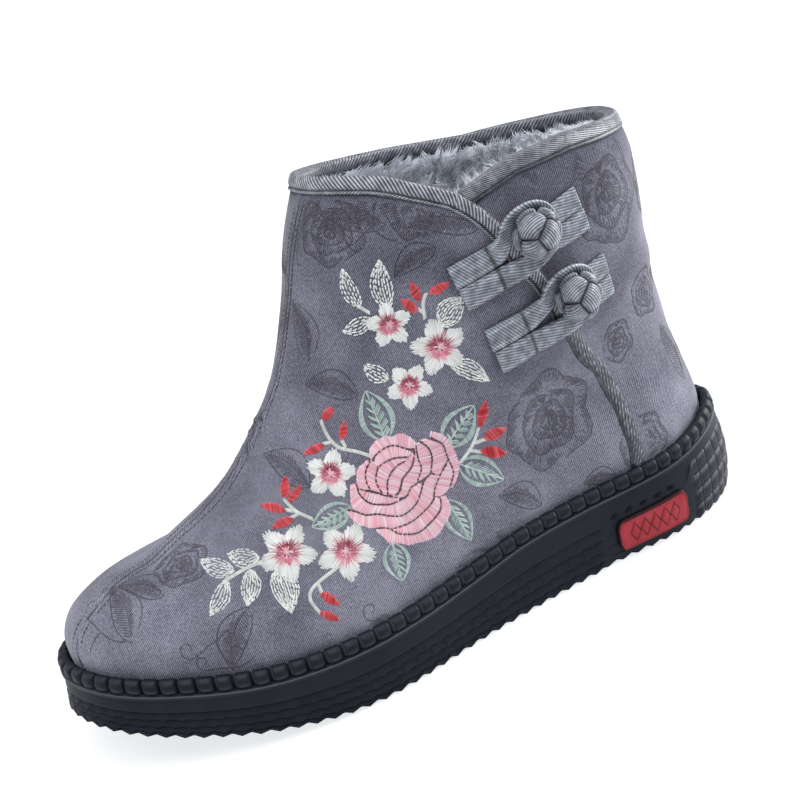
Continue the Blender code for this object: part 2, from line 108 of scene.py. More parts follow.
# Sole: rows of the rim, by number, and places that catch the light
LIP_LIGHT, BEAD_LIGHT = {12: 0.06, 13: 0.62, 14: 0.06}, {5: 0.06, 6: 0.10, 9: 0.18}
BEAD_LIGHT_END, CORNER_LIGHT, CORNER_AT, CORNER_WIDTH = (0.15, 0.4), 0.4, 0.435, 0.03
STUD_LIGHT, STUD_LIGHT_STEP, STUD_LIGHT_AT, STUD_LIGHT_NEAR = 0.55, BRICK_STEPS[1], BEAD_COLUMNS[-2], 0.01

# Upper: closed rings from the feather line to the collar
FEATHER_INSET, FEATHER_RISE = 5.3, 1.0
WALL = 2.8
UPPER_ROWS = [
    # v, front x, front z, back x, back z, outer width, inner width, roundness, follow, point
    (0.00, -125.5, 31.9, 125.5, 33.5, 46.0, 40.0, 0.00, 1.00, 1.30),
    (0.06, -125.6, 41.8, 125.4, 42.0, 46.2, 40.3, 0.02, 0.90, 1.30),
    (0.13, -120.4, 50.2, 124.0, 51.5, 45.5, 40.0, 0.10, 0.75, 1.40),
    (0.22, -109.0, 57.0, 122.0, 62.0, 42.5, 37.5, 0.35, 0.50, 1.50),
    (0.34, -88.0, 61.5, 120.6, 74.5, 40.0, 35.5, 0.62, 0.25, 1.50),
    (0.46, -67.2, 69.4, 119.6, 88.0, 39.5, 35.5, 0.82, 0.05, 1.40),
    (0.57, -49.4, 82.2, 119.6, 100.0, 39.5, 36.0, 0.95, 0.00, 1.25),
    (0.67, -35.0, 96.5, 119.8, 110.0, 39.5, 36.5, 1.00, 0.00, 1.10),
    (0.76, -24.8, 111.5, 120.5, 121.0, 39.5, 37.0, 1.00, 0.00, 1.00),
    (0.85, -17.0, 128.0, 121.3, 132.0, 39.8, 37.0, 1.00, 0.00, 0.90),
    (0.93, -10.3, 147.0, 120.5, 143.0, 39.5, 36.5, 1.00, 0.00, 0.90),
    (1.00, 1.0, 168.0, 117.5, 153.5, 38.5, 35.5, 1.00, 0.00, 0.90),
]
BACK_POINT = 0.85
COLLAR_EDGE = [
    # u, v of the collar's top edge; the low point on the outer side is where the flap crosses
    (0.000, 1.000), (0.110, 1.000), (0.182, 0.999), (0.245, 0.985), (0.293, 0.957), (0.336, 0.981),
    (0.380, 0.996), (0.440, 1.000), (0.520, 1.000), (0.628, 0.994), (0.718, 0.988), (0.800, 0.979),
    (0.887, 0.986), (1.000, 1.000),
]
FLAP_EDGE = [
    # v, u of the front panel's edge
    (0.000, 0.1030), (0.060, 0.1010), (0.120, 0.1025), (0.230, 0.1147), (0.360, 0.1365), (0.455, 0.1600),
    (0.610, 0.1920), (0.740, 0.2180), (0.810, 0.2370), (0.883, 0.2553), (0.926, 0.2720), (0.957, 0.2930),
]
FLAP_STEP, FLAP_FADE, FLAP_POWER = 1.2, 0.11, 1.5
FLAP_FREE, FLAP_FULL = 0.06, 0.45
FLAP_COLUMN, FRONT_COLUMN, COLUMNS = 10, 30, 60
FLAP_RISER = 0.003
BINDING_WIDTH = 6.0
INSOLE_INSET, INSOLE_COLUMNS = 9.2, 48


def curve(rows, t):
    """Smooth curve through table rows: one array for each column after the first."""
    rows = np.array(rows, float)
    t = np.clip(t, rows[0, 0], rows[-1, 0])
    i = np.clip(np.searchsorted(rows[:, 0], t) - 1, 0, len(rows) - 2)
    a, b = rows[i], rows[i + 1]
    before, after = rows[np.maximum(i - 1, 0)], rows[np.minimum(i + 2, len(rows) - 1)]
    span = b[..., :1] - a[..., :1]
    s = (np.asarray(t)[..., None] - a[..., :1]) / span
    leave = span * (b - before) / (b[..., :1] - before[..., :1])
    arrive = span * (after - a) / (after[..., :1] - a[..., :1])
    values = ((1 + 2 * s) * (1 - s) ** 2 * a + s * (1 - s) ** 2 * leave
              + s * s * (3 - 2 * s) * b - s * s * (1 - s) * arrive)
    return np.moveaxis(values[..., 1:], -1, 0)


def straight(rows, t):
    rows = np.array(rows, float)
    return np.interp(t, rows[:, 0], rows[:, 1])


def smooth(low, high, t):
    """0 below low, 1 above high, with a soft step between."""
    s = np.clip((t - low) / (high - low), 0.0, 1.0)
    return s * s * (3 - 2 * s)


def hump(t, middle, spread):
    """1 at the middle, falling softly to 0 on both sides."""
    return np.exp(-((t - middle) / spread) ** 2)


def closed_curve(points, steps):
    """Points along a smooth closed curve through the given points."""
    p = np.array(points, float)
    p0, p1, p2, p3 = (np.roll(p, shift, axis=0)[:, None] for shift in (1, 0, -1, -2))
    t = (np.arange(steps) / steps)[None, :, None]
    loop = 0.5 * (2 * p1 + (p2 - p0) * t + (2 * p0 - 5 * p1 + 4 * p2 - p3) * t ** 2
                  + (3 * p1 - p0 - 3 * p2 + p3) * t ** 3)
    return loop.reshape(-1, p.shape[1])


def open_curve(points, count):
    """count points, evenly spaced, along a smooth curve through the given points."""
    p = np.array(points, float)
    if len(p) == 2:
        return p[0] + (p[1] - p[0]) * np.linspace(0, 1, count)[:, None]
    rows = np.column_stack([np.arange(len(p)), p])
    fine = curve(rows, np.linspace(0, len(p) - 1, CURVE_STEPS * len(p))).T
    return even(fine, count)


def sampled(wanted, lengths, rows):
    """Rows of a table at the wanted lengths."""
    return np.column_stack([np.interp(wanted, lengths, rows[:, k]) for k in range(rows.shape[1])])


def even(path, count):
    """count points at equal distances along a path."""
    lengths = along(path)
    return sampled(np.linspace(0, lengths[-1], count), lengths, path)


def along(path):
    """Distance of each point along its path."""
    return np.concatenate([[0.0], np.cumsum(np.linalg.norm(np.diff(path, axis=0), axis=1))])


def extent(path):
    return along(path)[-1]


def unit(vectors):
    return vectors / np.maximum(np.linalg.norm(vectors, axis=-1, keepdims=True), 1e-9)


def lifted(flat, height):
    """Points over flat places."""
    return np.concatenate([flat, np.asarray(height)[..., None]], -1)


LIP_LOOP = closed_curve(LIP_OUTLINE, OUTLINE_STEPS)
TOE_INDEX = TOE_POINT * OUTLINE_STEPS
OUTER_SIDE = LIP_LOOP[:TOE_INDEX + 1]
INNER_SIDE = np.vstack([LIP_LOOP[TOE_INDEX:], LIP_LOOP[:1]])
LIP_U = np.concatenate([0.5 * along(OUTER_SIDE) / along(OUTER_SIDE)[-1],
                        0.5 + 0.5 * along(INNER_SIDE)[1:] / along(INNER_SIDE)[-1]])
LIP_LINE = np.vstack([OUTER_SIDE, INNER_SIDE[1:]])


def lip_point(u):
    u = np.mod(u, 1.0)
    return np.stack([np.interp(u, LIP_U, LIP_LINE[:, k]) for k in range(2)], -1)


def outline(u, inset):
    """Point of the sole's outline, moved inwards by inset."""
    run = lip_point(u + SLOPE_STEP) - lip_point(u - SLOPE_STEP)
    return lip_point(u) + np.asarray(inset)[..., None] * unit(np.stack([run[..., 1], -run[..., 0]], -1))


def toward_spine(flat, limit, share):
    """Flat places drawn towards the sole's middle line, which reaches to limit at both ends."""
    middle = np.stack([np.clip(flat[:, 0], -limit, limit), np.zeros(len(flat))], -1)
    return flat + (middle - flat) * share


def lip_height(u):
    return curve(LIP_HEIGHT, lip_point(u)[..., 0])[0]


def ground(x, y):
    """Height of the tread: flat at heel and forefoot, with toe spring and arch."""
    past = np.maximum(0.0, (SPRING_START - x) / (HALF_LENGTH + SPRING_START))
    reach = np.minimum(np.abs(x - ARCH_MIDDLE) / ARCH_HALF, 1.0)
    inner = 0.5 + 0.5 * np.clip(y / ARCH_ACROSS, -1, 1)
    return TOE_SPRING * past ** SPRING_POWER + ARCH_RISE * inner * (1 - reach * reach) ** 2


def side_inset(u, share, step_inset):
    """Inset of the sole's side at a share of its height below the lip."""
    x = lip_point(u)[..., 0]
    heel = np.maximum(0.0, (x - HEEL_BULGE_START) / (HALF_LENGTH - HEEL_BULGE_START))
    return step_inset + straight(SIDE_LEAN, x) * share - HEEL_BULGE * heel * 4 * share * (1 - share)


def side_point(u, share, inset, raised=0.0):
    """Point of the sole's side between the lip (share 0) and the ground (share 1)."""
    flat = outline(u, inset)
    top = lip_height(u) + SIDE_TOP
    low = ground(lip_point(u)[..., 0], flat[..., 1])
    return lifted(flat, top + (low - top) * share + raised)


def upper_point(u, v):
    """Outside of the upper, before the flap's step."""
    u, v = np.broadcast_arrays(np.asarray(u, float), np.asarray(v, float))
    front_x, front_z, back_x, back_z, outer, inner, roundness, follow, point = curve(UPPER_ROWS, v)
    base = UPPER_ROWS[0]
    foot = outline(u, np.full(u.shape, FEATHER_INSET))
    foot_along = (base[3] - foot[..., 0]) / (base[3] - base[1])
    foot_across = foot[..., 1] / np.where(foot[..., 1] < 0, base[5], base[6])
    turn = 2 * pi * u
    oval_along = (1 - np.cos(turn)) / 2
    power = BACK_POINT + (point - BACK_POINT) * oval_along
    oval_across = -np.abs(np.sin(turn)) ** power * np.sign(np.sin(turn))
    run = foot_along + roundness * (oval_along - foot_along)
    across = foot_across + roundness * (oval_across - foot_across)
    sag = lip_height(u) + FEATHER_RISE - (base[4] + (base[2] - base[4]) * foot_along)
    return np.stack([back_x + (front_x - back_x) * run, across * np.where(across < 0, outer, inner),
                     back_z + (front_z - back_z) * run + follow * sag], -1)


def upper_slopes(u, v):
    """Change of the upper's surface per unit of u and of v."""
    low, high = np.maximum(v - SLOPE_STEP, 0.0), np.minimum(v + SLOPE_STEP, 1.0)
    along_u = (upper_point(u + SLOPE_STEP, v) - upper_point(u - SLOPE_STEP, v)) / (2 * SLOPE_STEP)
    along_v = (upper_point(u, high) - upper_point(u, low)) / np.asarray(high - low)[..., None]
    return along_u, along_v


def upper_normal(u, v):
    along_u, along_v = upper_slopes(u, v)
    return unit(np.cross(along_v, along_u))


def flap_u(v):
    return straight(FLAP_EDGE, v)


def flap_step(u, v):
    """How far the front panel stands out over the back panel."""
    past = (u - flap_u(v) - FLAP_RISER / 2) / FLAP_FADE
    height = FLAP_STEP * np.clip((v - FLAP_FREE) / (FLAP_FULL - FLAP_FREE), 0.0, 1.0)
    return np.where((past < 0) | (u > 0.5), 0.0, height * np.maximum(0.0, 1.0 - past) ** FLAP_POWER)


def column_u(column, v):
    """u of a wall column: two columns follow the flap's edge, the rest are spread evenly."""
    edge = flap_u(v)
    column = np.mod(column, COLUMNS)
    start = edge + FLAP_RISER
    front = start + (0.5 - start) * (column - FLAP_COLUMN - 1) / (FRONT_COLUMN - FLAP_COLUMN - 1)
    inner = 0.5 + 0.5 * (column - FRONT_COLUMN) / (COLUMNS - FRONT_COLUMN)
    return np.where(column <= FLAP_COLUMN, edge * column / FLAP_COLUMN,
                    np.where(column <= FRONT_COLUMN, front, inner))


def collar_top(u, below):
    """v at a distance below the collar's edge."""
    v = straight(COLLAR_EDGE, u)
    return v - below / np.linalg.norm(upper_slopes(u, v)[1], axis=-1)


# Cloth relief: the front seam, creases, soft dents and gathers at the sole
SEAM_LINE = [
    # v, u of the front seam
    (0.00, 0.484), (0.12, 0.481), (0.20, 0.478), (0.30, 0.487), (0.40, 0.500), (0.57, 0.497), (0.70, 0.496),
    (0.82, 0.496), (0.88, 0.494), (0.93, 0.488), (0.965, 0.4845), (1.00, 0.472),
]
SEAM_STITCH, SEAM_PITCH = 2.6, 1.7
SEAM_SECTION = [
    # height, distance from the seam, spread
    (0.35, 1.7, 1.0), (-0.55, 0.0, 0.6), (-0.25, SEAM_STITCH, 0.5),
]
CREASES = [
    # u, v at the two ends, half width, depth
    (0.545, 0.615, 0.478, 0.650, 1.1, 1.3),
    (0.535, 0.567, 0.470, 0.597, 1.1, 1.3),
    (0.470, 0.690, 0.395, 0.715, 4.5, 0.9),
    (0.440, 0.615, 0.360, 0.585, 5.0, 0.7),
    (0.395, 0.790, 0.330, 0.720, 5.0, 0.6),
    (0.250, 0.420, 0.190, 0.330, 5.5, 0.7),
    (0.120, 0.520, 0.030, 0.480, 5.5, 0.7),
    (0.560, 0.640, 0.650, 0.600, 4.0, 0.9),
    (0.640, 0.700, 0.740, 0.640, 5.0, 0.8),
    (0.700, 0.480, 0.790, 0.420, 5.5, 0.7),
    (0.850, 0.560, 0.960, 0.500, 5.0, 0.7),
    (0.060, 0.300, 0.985, 0.280, 5.0, 0.5),
]
CREASE_POINTS, CREASE_FADE = 9, 1.6
FOLD_RISE, FOLD_AT, FOLD_SPREAD = 0.45, 2.0, 1.1
DENT_DEPTH, DENT_FROM, DENT_FULL = 0.35, 0.05, 0.2
DENT_WAVES = [
    # turns along u, turns along v, phase
    (4.2, 2.3, 0.0), (2.7, -3.1, 0.8),
]
GATHERS, GATHER_DEPTH, GATHER_REACH, GATHER_DRIFT, GATHER_DRIFTS = 61, 0.22, 0.05, 2.0, 9


def line_distance(place, line):
    """Distance of points from a line, and the share of the line at their nearest spot."""
    near, share = np.full(place.shape[:-1], np.inf), np.zeros(place.shape[:-1])
    steps = np.diff(line, axis=0)
    for k, (start, step) in enumerate(zip(line, steps)):
        t = np.clip(((place - start) @ step) / (step @ step), 0, 1)
        far = np.linalg.norm(place - start - t[..., None] * step, axis=-1)
        share = np.where(far < near, (k + t) / len(steps), share)
        near = np.minimum(near, far)
    return near, share


def relief(u, v):
    """How far the cloth stands above or below its even surface."""
    place = upper_point(u, v)
    across = np.linalg.norm(upper_slopes(u, v)[0], axis=-1)
    from_seam = np.abs(u - straight(SEAM_LINE, v)) * across
    rise = sum(height * hump(from_seam, middle, spread) for height, middle, spread in SEAM_SECTION)
    for u0, v0, u1, v1, width, depth in CREASES:
        line = upper_point(np.linspace(u0, u1, CREASE_POINTS), np.linspace(v0, v1, CREASE_POINTS))
        near, share = line_distance(place, line)
        fade = np.clip(np.sin(pi * np.clip(share, 0.02, 0.98)) * CREASE_FADE, 0, 1)
        fold = FOLD_RISE * hump(near, FOLD_AT * width, FOLD_SPREAD * width) - hump(near, 0.0, width)
        rise = rise + fade * depth * fold
    dent = DENT_DEPTH * smooth(DENT_FROM, DENT_FULL, v)
    for turns_u, turns_v, phase in DENT_WAVES:
        dent = dent * np.sin(2 * pi * (turns_u * u + turns_v * v) + phase)
    drift = GATHER_DRIFT * np.sin(2 * pi * GATHER_DRIFTS * u)
    gather = GATHER_DEPTH * np.sin(2 * pi * GATHERS * u + drift) * hump(v, 0.0, GATHER_REACH)
    return rise + dent + gather


def cloth_point(u, v, lift=0.0):
    """Point at a height over the cloth, flap and relief included."""
    height = flap_step(u, v) + relief(u, v) + lift
    return upper_point(u, v) + upper_normal(u, v) * height[..., None]


def walk(u, v, step):
    """u and v after a small step, in millimetres, along the upper's surface."""
    along_u, along_v = upper_slopes(u, v)
    uu, uv, vv = (along_u * along_u).sum(-1), (along_u * along_v).sum(-1), (along_v * along_v).sum(-1)
    su, sv = (step * along_u).sum(-1), (step * along_v).sum(-1)
    area = np.maximum(uu * vv - uv * uv, LEAST_AREA)
    return u + (su * vv - sv * uv) / area, v + (sv * uu - su * uv) / area


# Weave: laid flat round the heel by distance and height, and over the toe as seen from the side
WEAVE_U, WEAVE_V = np.meshgrid(np.linspace(0.0, 1.0, 241), np.linspace(0.0, 1.0, 101), indexing="ij")
WEAVE_STEPS = np.linalg.norm(np.diff(upper_point(WEAVE_U, WEAVE_V), axis=0), axis=-1)
WEAVE_AROUND = np.concatenate([np.zeros((1, WEAVE_STEPS.shape[1])), np.cumsum(WEAVE_STEPS, axis=0)])
TOE_LAY_FROM, TOE_LAY_TO, TOE_RUN = 60.0, 20.0, 137.5
TOE_ACROSS, TOE_UP, TOE_RISE = 0.92, 1.05, 34.0


def weave_at(u, v):
    """Flat place of points of the cloth, for the twill."""
    rows, columns = WEAVE_U.shape
    at_u, at_v = np.mod(u, 1.0) * (rows - 1), np.clip(v, 0.0, 1.0) * (columns - 1)
    i, j = np.minimum(at_u.astype(int), rows - 2), np.minimum(at_v.astype(int), columns - 2)
    s, t = at_u - i, at_v - j
    low, high = ((1 - s) * WEAVE_AROUND[i, k] + s * WEAVE_AROUND[i + 1, k] for k in (j, j + 1))
    around = (1 - t) * low + t * high
    whole = (1 - t) * WEAVE_AROUND[-1, j] + t * WEAVE_AROUND[-1, j + 1]
    panel = np.where(np.mod(u, 1.0) <= straight(SEAM_LINE, v), 1.0, -1.0)
    x, y, z = np.moveaxis(upper_point(u, v), -1, 0)
    toe = 1 - smooth(TOE_LAY_TO, TOE_LAY_FROM, x)
    run = np.where(panel > 0, around, whole - around)
    run = run + (TOE_RUN - x - run) * toe
    rise = z + (TOE_ACROSS * panel * y + TOE_UP * z + TOE_RISE - z) * toe
    return np.stack([panel * run, rise, np.zeros_like(run)], -1)


# Photo pixels on the upper
def view_axes():
    """Camera's position and its right, up and back directions in the form's axes."""
    a, e, r = radians(VIEW_AZIMUTH), radians(VIEW_ELEVATION), radians(VIEW_ROLL)
    back = np.array([sin(a) * cos(e), -cos(a) * cos(e), sin(e)])
    level = np.array([cos(a), sin(a), 0.0])
    rise = np.cross(back, level)
    return (np.array(VIEW_TARGET) + back * VIEW_DISTANCE, level * cos(r) - rise * sin(r),
            level * sin(r) + rise * cos(r), back)


EYE, RIGHT, UP, BACK = view_axes()


def pixels(points):
    """Photo pixels of points in the form's axes."""
    off = points - EYE
    scale = VIEW_FOCAL / -(off @ BACK)
    return np.stack([FRAME / 2 + scale * (off @ RIGHT), FRAME / 2 - scale * (off @ UP)], -1)


GRID_U, GRID_V = np.meshgrid(np.linspace(0.0, 0.56, 113), np.linspace(0.0, 1.0, 81), indexing="ij")
GRID_PIXELS = pixels(upper_point(GRID_U, GRID_V))
GRID_FACING = (upper_normal(GRID_U, GRID_V) * (EYE - upper_point(GRID_U, GRID_V))).sum(-1)
GRID_HIDDEN = np.where(GRID_FACING > 0, 0.0, 1e6)
GUESS_CELL = 4
SEARCH_ROUNDS, SEARCH_STEP, SEARCH_AREA, SEARCH_REACH = 5, 1e-3, 1e3, 0.02


def on_upper(wanted):
    """u and v of the upper's points that the photo shows at these pixels."""
    wanted = np.asarray(wanted, float)
    flat = wanted.reshape(-1, 2)
    cells, cell = np.unique(np.round(flat / GUESS_CELL), axis=0, return_inverse=True)
    guesses = [np.argmin(((GRID_PIXELS - GUESS_CELL * spot) ** 2).sum(-1) + GRID_HIDDEN) for spot in cells]
    nearest = np.array(guesses)[cell.ravel()]
    u, v = GRID_U.ravel()[nearest], GRID_V.ravel()[nearest]
    for _ in range(SEARCH_ROUNDS):
        here = pixels(upper_point(u, v))
        by_u = (pixels(upper_point(u + SEARCH_STEP, v)) - here) / SEARCH_STEP
        by_v = (pixels(upper_point(u, v + SEARCH_STEP)) - here) / SEARCH_STEP
        miss = flat - here
        area = by_u[:, 0] * by_v[:, 1] - by_v[:, 0] * by_u[:, 1]
        area = np.where(np.abs(area) < SEARCH_AREA, np.copysign(SEARCH_AREA, area), area)
        step_u = (miss[:, 0] * by_v[:, 1] - by_v[:, 0] * miss[:, 1]) / area
        step_v = (by_u[:, 0] * miss[:, 1] - miss[:, 0] * by_u[:, 1]) / area
        u = u + np.clip(step_u, -SEARCH_REACH, SEARCH_REACH)
        v = v + np.clip(step_v, -SEARCH_REACH, SEARCH_REACH)
    return u.reshape(wanted.shape[:-1]), v.reshape(wanted.shape[:-1])


# Frame
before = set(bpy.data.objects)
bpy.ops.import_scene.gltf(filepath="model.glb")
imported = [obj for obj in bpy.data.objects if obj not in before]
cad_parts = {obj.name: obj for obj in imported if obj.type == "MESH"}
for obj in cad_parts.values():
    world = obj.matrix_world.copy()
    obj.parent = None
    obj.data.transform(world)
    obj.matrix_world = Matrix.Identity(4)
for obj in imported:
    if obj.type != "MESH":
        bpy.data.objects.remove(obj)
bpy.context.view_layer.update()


def form_shift():
    """Move from the form's axes to the part's, read from the insole's box."""
    ring = outline(np.arange(INSOLE_COLUMNS) / INSOLE_COLUMNS, np.full(INSOLE_COLUMNS, INSOLE_INSET))
    low = np.array(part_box("insole")[0]) / MM
    return np.array([low[0] - ring[:, 0].min(), low[1] - ring[:, 1].min(), 0.0])


SHIFT = form_shift()


# Materials
class Looks:
    """A node material under construction; plain numbers go straight to the shader's sockets."""

    def __init__(self, name, **fixed):
        self.made = bpy.data.materials.new(name)
        self.made.use_nodes = True
        self.nodes = self.made.node_tree.nodes
        self.links = self.made.node_tree.links
        self.shader = self.nodes["Principled BSDF"]
        for socket, value in fixed.items():
            self.shader.inputs[socket.replace("_", " ")].default_value = value

    def put(self, socket, value):
        if isinstance(value, bpy.types.NodeSocket):
            self.links.new(value, socket)
        else:
            socket.default_value = value

    def add(self, kind, inputs=None, **settings):
        node = self.nodes.new("ShaderNode" + kind)
        for name, value in settings.items():
            setattr(node, name, value)
        for key, value in (inputs or {}).items():
            self.put(node.inputs[key], value)
        return node

    def math(self, operation, a, b=0.0):
        return self.add("Math", {0: a, 1: b}, operation=operation).outputs[0]

    def total(self, *parts):
        """Sum of weighted values."""
        terms = [self.math("MULTIPLY", value, weight) for value, weight in parts]
        whole = terms[0]
        for term in terms[1:]:
            whole = self.math("ADD", whole, term)
        return whole

    def place(self):
        """Position in millimetres."""
        spot = self.add("TexCoord").outputs["Object"]
        return self.add("VectorMath", {0: spot, "Scale": 1 / MM}, operation="SCALE").outputs[0]

    def attribute(self, name, output="Fac"):
        return self.add("Attribute", attribute_name=name).outputs[output]

    def dot(self, place, direction):
        return self.add("VectorMath", {0: place, 1: direction}, operation="DOT_PRODUCT").outputs["Value"]

    def lines(self, place, direction, pitch=1.0):
        """Ridges from 0 to 1 across a direction."""
        fold = self.math("PINGPONG", self.math("DIVIDE", self.dot(place, direction), pitch), 0.5)
        return self.math("MULTIPLY", fold, 2.0)

    def noise(self, place, scale, detail=2.0, rough=0.5):
        node = self.add("TexNoise", {"Vector": place, "Scale": scale, "Detail": detail, "Roughness": rough})
        return node.outputs["Fac"]

    def streaks(self, place, across, length, width):
        """Noise drawn out at right angles to a direction in the flat weave."""
        run = self.math("DIVIDE", self.dot(place, (*across, 0.0)), width)
        slide = self.math("DIVIDE", self.dot(place, (-across[1], across[0], 0.0)), length)
        drawn = self.add("CombineXYZ", {0: run, 1: slide}).outputs[0]
        return self.noise(drawn, scale=1.0, detail=1.0)

    def ramp(self, factor, *stops):
        node = self.add("ValToRGB", {0: factor})
        elements = node.color_ramp.elements
        while len(elements) < len(stops):
            elements.new(0.5)
        for element, (position, colour) in zip(elements, stops):
            element.position = position
            element.color = (*colour, 1.0)
        return node.outputs[0]

    def mix(self, kind, factor, a, b):
        node = self.add("Mix", {0: factor, 6: a, 7: b}, data_type="RGBA", blend_type=kind)
        return node.outputs[2]

    def colour(self, value):
        self.put(self.shader.inputs["Base Color"], value)

    def rough(self, value):
        self.put(self.shader.inputs["Roughness"], value)

    def bump(self, height, distance, strength=1.0):
        node = self.add("Bump", {"Height": height, "Distance": distance * MM, "Strength": strength})
        self.links.new(node.outputs[0], self.shader.inputs["Normal"])


TWILL, TWILL_PITCH = (0.71, 0.70), 0.73
STREAK_LENGTH, STREAK_WIDTH = 1.1, 0.44
# Painted shade on the cloth: a gradient that darkens it higher up and lightens it slightly towards the heel
CLOTH_PAINTED_SHADE, PAINTED_SHADE_START = (0.0002, 0.0, -0.0009), 0.112


def cloth_looks(name, dark, middle, light):
    """Cotton twill: fine diagonal ribs, speckled yarn and soft tone changes, over a painted shade gradient
    that darkens the cloth higher up and lightens it slightly towards the heel.
    """
    looks = Looks(name, Roughness=0.9, Sheen_Weight=0.30, Sheen_Roughness=0.35, Specular_IOR_Level=0.15)
    place = looks.place()
    flat = looks.attribute("weave", "Vector")
    rib = looks.lines(flat, (*TWILL, 0.0), TWILL_PITCH)
    streak = looks.streaks(flat, TWILL, STREAK_LENGTH, STREAK_WIDTH)
    yarn = looks.noise(place, scale=1.9, detail=1.0, rough=0.6)
    tone = looks.noise(place, scale=0.045, detail=3.0, rough=0.55)
    weave = looks.total((rib, 0.34), (streak, 0.30), (yarn, 0.46))
    # Painted shade gradient: darker higher up, slightly lighter towards the heel
    fade = looks.math("ADD", looks.dot(place, CLOTH_PAINTED_SHADE), PAINTED_SHADE_START)
    shade = looks.total((weave, 0.75), (tone, 0.35), (fade, 1.0))
    looks.colour(looks.ramp(shade, (0.38, dark), (0.60, middle), (0.84, light)))
    looks.bump(weave, 0.16, 0.9)
    return looks.made


RIB_PHASE, FLECK_PHASE, PLACE_ACROSS = (1.0, 0.0, 0.0), (0.0, 1.0, 0.0), (0.0, 0.0, 1.0)
STRIPE_PITCH, STRIPE_EDGE = 5.4, 0.93


def ribbon_looks(name, contrast, dark, middle, light):
    """Satin ribbon; its weave attribute holds the phases of the ribs and flecks and the place across, and
    broad noise paints its sheen.
    """
    looks = Looks(name, Roughness=0.38, Sheen_Weight=0.1)
    place = looks.place()
    yarn = looks.noise(place, scale=3.0, detail=2.0, rough=0.6)
    # Painted sheen: broad noise that lightens and darkens the satin in soft patches, standing for its silky
    # highlights
    painted_sheen = looks.math("SUBTRACT", looks.noise(place, scale=0.35), 0.5)
    shade = looks.attribute("shade")
    flat = looks.attribute("weave", "Vector")
    rib = looks.math("MULTIPLY", looks.lines(flat, RIB_PHASE), contrast)
    rib = looks.math("ADD", rib, 0.5 * (1 - contrast))
    fleck = looks.math("ADD", looks.math("MULTIPLY", looks.lines(flat, FLECK_PHASE), 0.6), 0.4)
    stripe = looks.math("GREATER_THAN", looks.lines(flat, PLACE_ACROSS, STRIPE_PITCH), STRIPE_EDGE)
    ridge = looks.math("MULTIPLY", looks.math("MULTIPLY", rib, fleck), shade)
    stripe = looks.math("MULTIPLY", stripe, shade)
    tone = looks.total((ridge, 0.75), (yarn, 0.3), (painted_sheen, 0.6), (stripe, 0.15))
    looks.colour(looks.ramp(tone, (0.16, dark), (0.50, middle), (0.92, light)))
    looks.bump(looks.total((ridge, 1.0), (yarn, 0.25)), 0.22)
    return looks.made


def rubber_looks(name, colour, worn, edge, roughness):
    """Moulded rubber; the shade attribute picks out edges that catch the light."""
    looks = Looks(name, Specular_IOR_Level=0.17)
    place = looks.place()
    grain = looks.noise(place, scale=2.6, detail=3.0, rough=0.6)
    cloud = looks.noise(place, scale=0.12, detail=3.0, rough=0.6)
    plain = looks.ramp(cloud, (0.35, colour), (0.75, worn))
    looks.colour(looks.mix("MIX", looks.attribute("shade"), plain, (*edge, 1.0)))
    looks.rough(looks.math("ADD", looks.math("MULTIPLY", cloud, 0.18), roughness))
    looks.bump(grain, 0.035)
    return looks.made


def thread_looks(name):
    """Embroidery thread, coloured thread by thread."""
    looks = Looks(name, Roughness=0.42, Sheen_Weight=0.2, Anisotropic=0.4)
    looks.colour(looks.attribute("thread", "Color"))
    looks.bump(looks.noise(looks.place(), scale=9.0, detail=1.0), 0.03)
    return looks.made


PILE_GLOW = 0.06


def pile_looks(name):
    """Plush hairs, coloured hair by hair; a little glow stands for light that passes through them."""
    looks = Looks(name, Roughness=0.75, Sheen_Weight=0.4, Sheen_Roughness=0.4, Emission_Strength=PILE_GLOW)
    hair = looks.attribute("thread", "Color")
    looks.colour(hair)
    looks.put(looks.shader.inputs["Emission Color"], hair)
    return looks.made


def ground_looks(name, colour):
    """Knitted ground of the plush."""
    looks = Looks(name, Roughness=0.95)
    tuft = looks.noise(looks.place(), scale=0.5, detail=4.0, rough=0.65)
    looks.colour(looks.ramp(tuft, (0.3, [0.45 * c for c in colour]), (0.7, colour)))
    looks.bump(tuft, 1.2)
    return looks.made


CLOTH = cloth_looks("twill", (0.036, 0.035, 0.052), (0.108, 0.106, 0.144), (0.34, 0.34, 0.42))
FIGURE = cloth_looks("twill_figure", (0.022, 0.021, 0.031), (0.058, 0.056, 0.076), (0.17, 0.165, 0.20))
TAPE = ribbon_looks("ribbed_tape", 1.0, (0.012, 0.013, 0.022), (0.13, 0.135, 0.17), (0.56, 0.57, 0.63))
RIBBON = ribbon_looks("satin_ribbon", 0.5, (0.010, 0.012, 0.020), (0.13, 0.145, 0.18), (0.52, 0.56, 0.64))
KNOT = ribbon_looks("knot_ribbon", 0.66, (0.010, 0.012, 0.020), (0.14, 0.155, 0.19), (0.58, 0.62, 0.70))
RUBBER = rubber_looks("black_rubber", (0.0048, 0.0074, 0.0132), (0.0092, 0.0124, 0.0200),
                      (0.11, 0.12, 0.14), 0.40)
BADGE = rubber_looks("red_rubber", (0.32, 0.022, 0.034), (0.39, 0.042, 0.056), (0.016, 0.004, 0.006), 0.40)
THREAD = thread_looks("thread")
PILE = pile_looks("plush_pile")
PLUSH = ground_looks("plush_ground", (0.76, 0.80, 0.88))


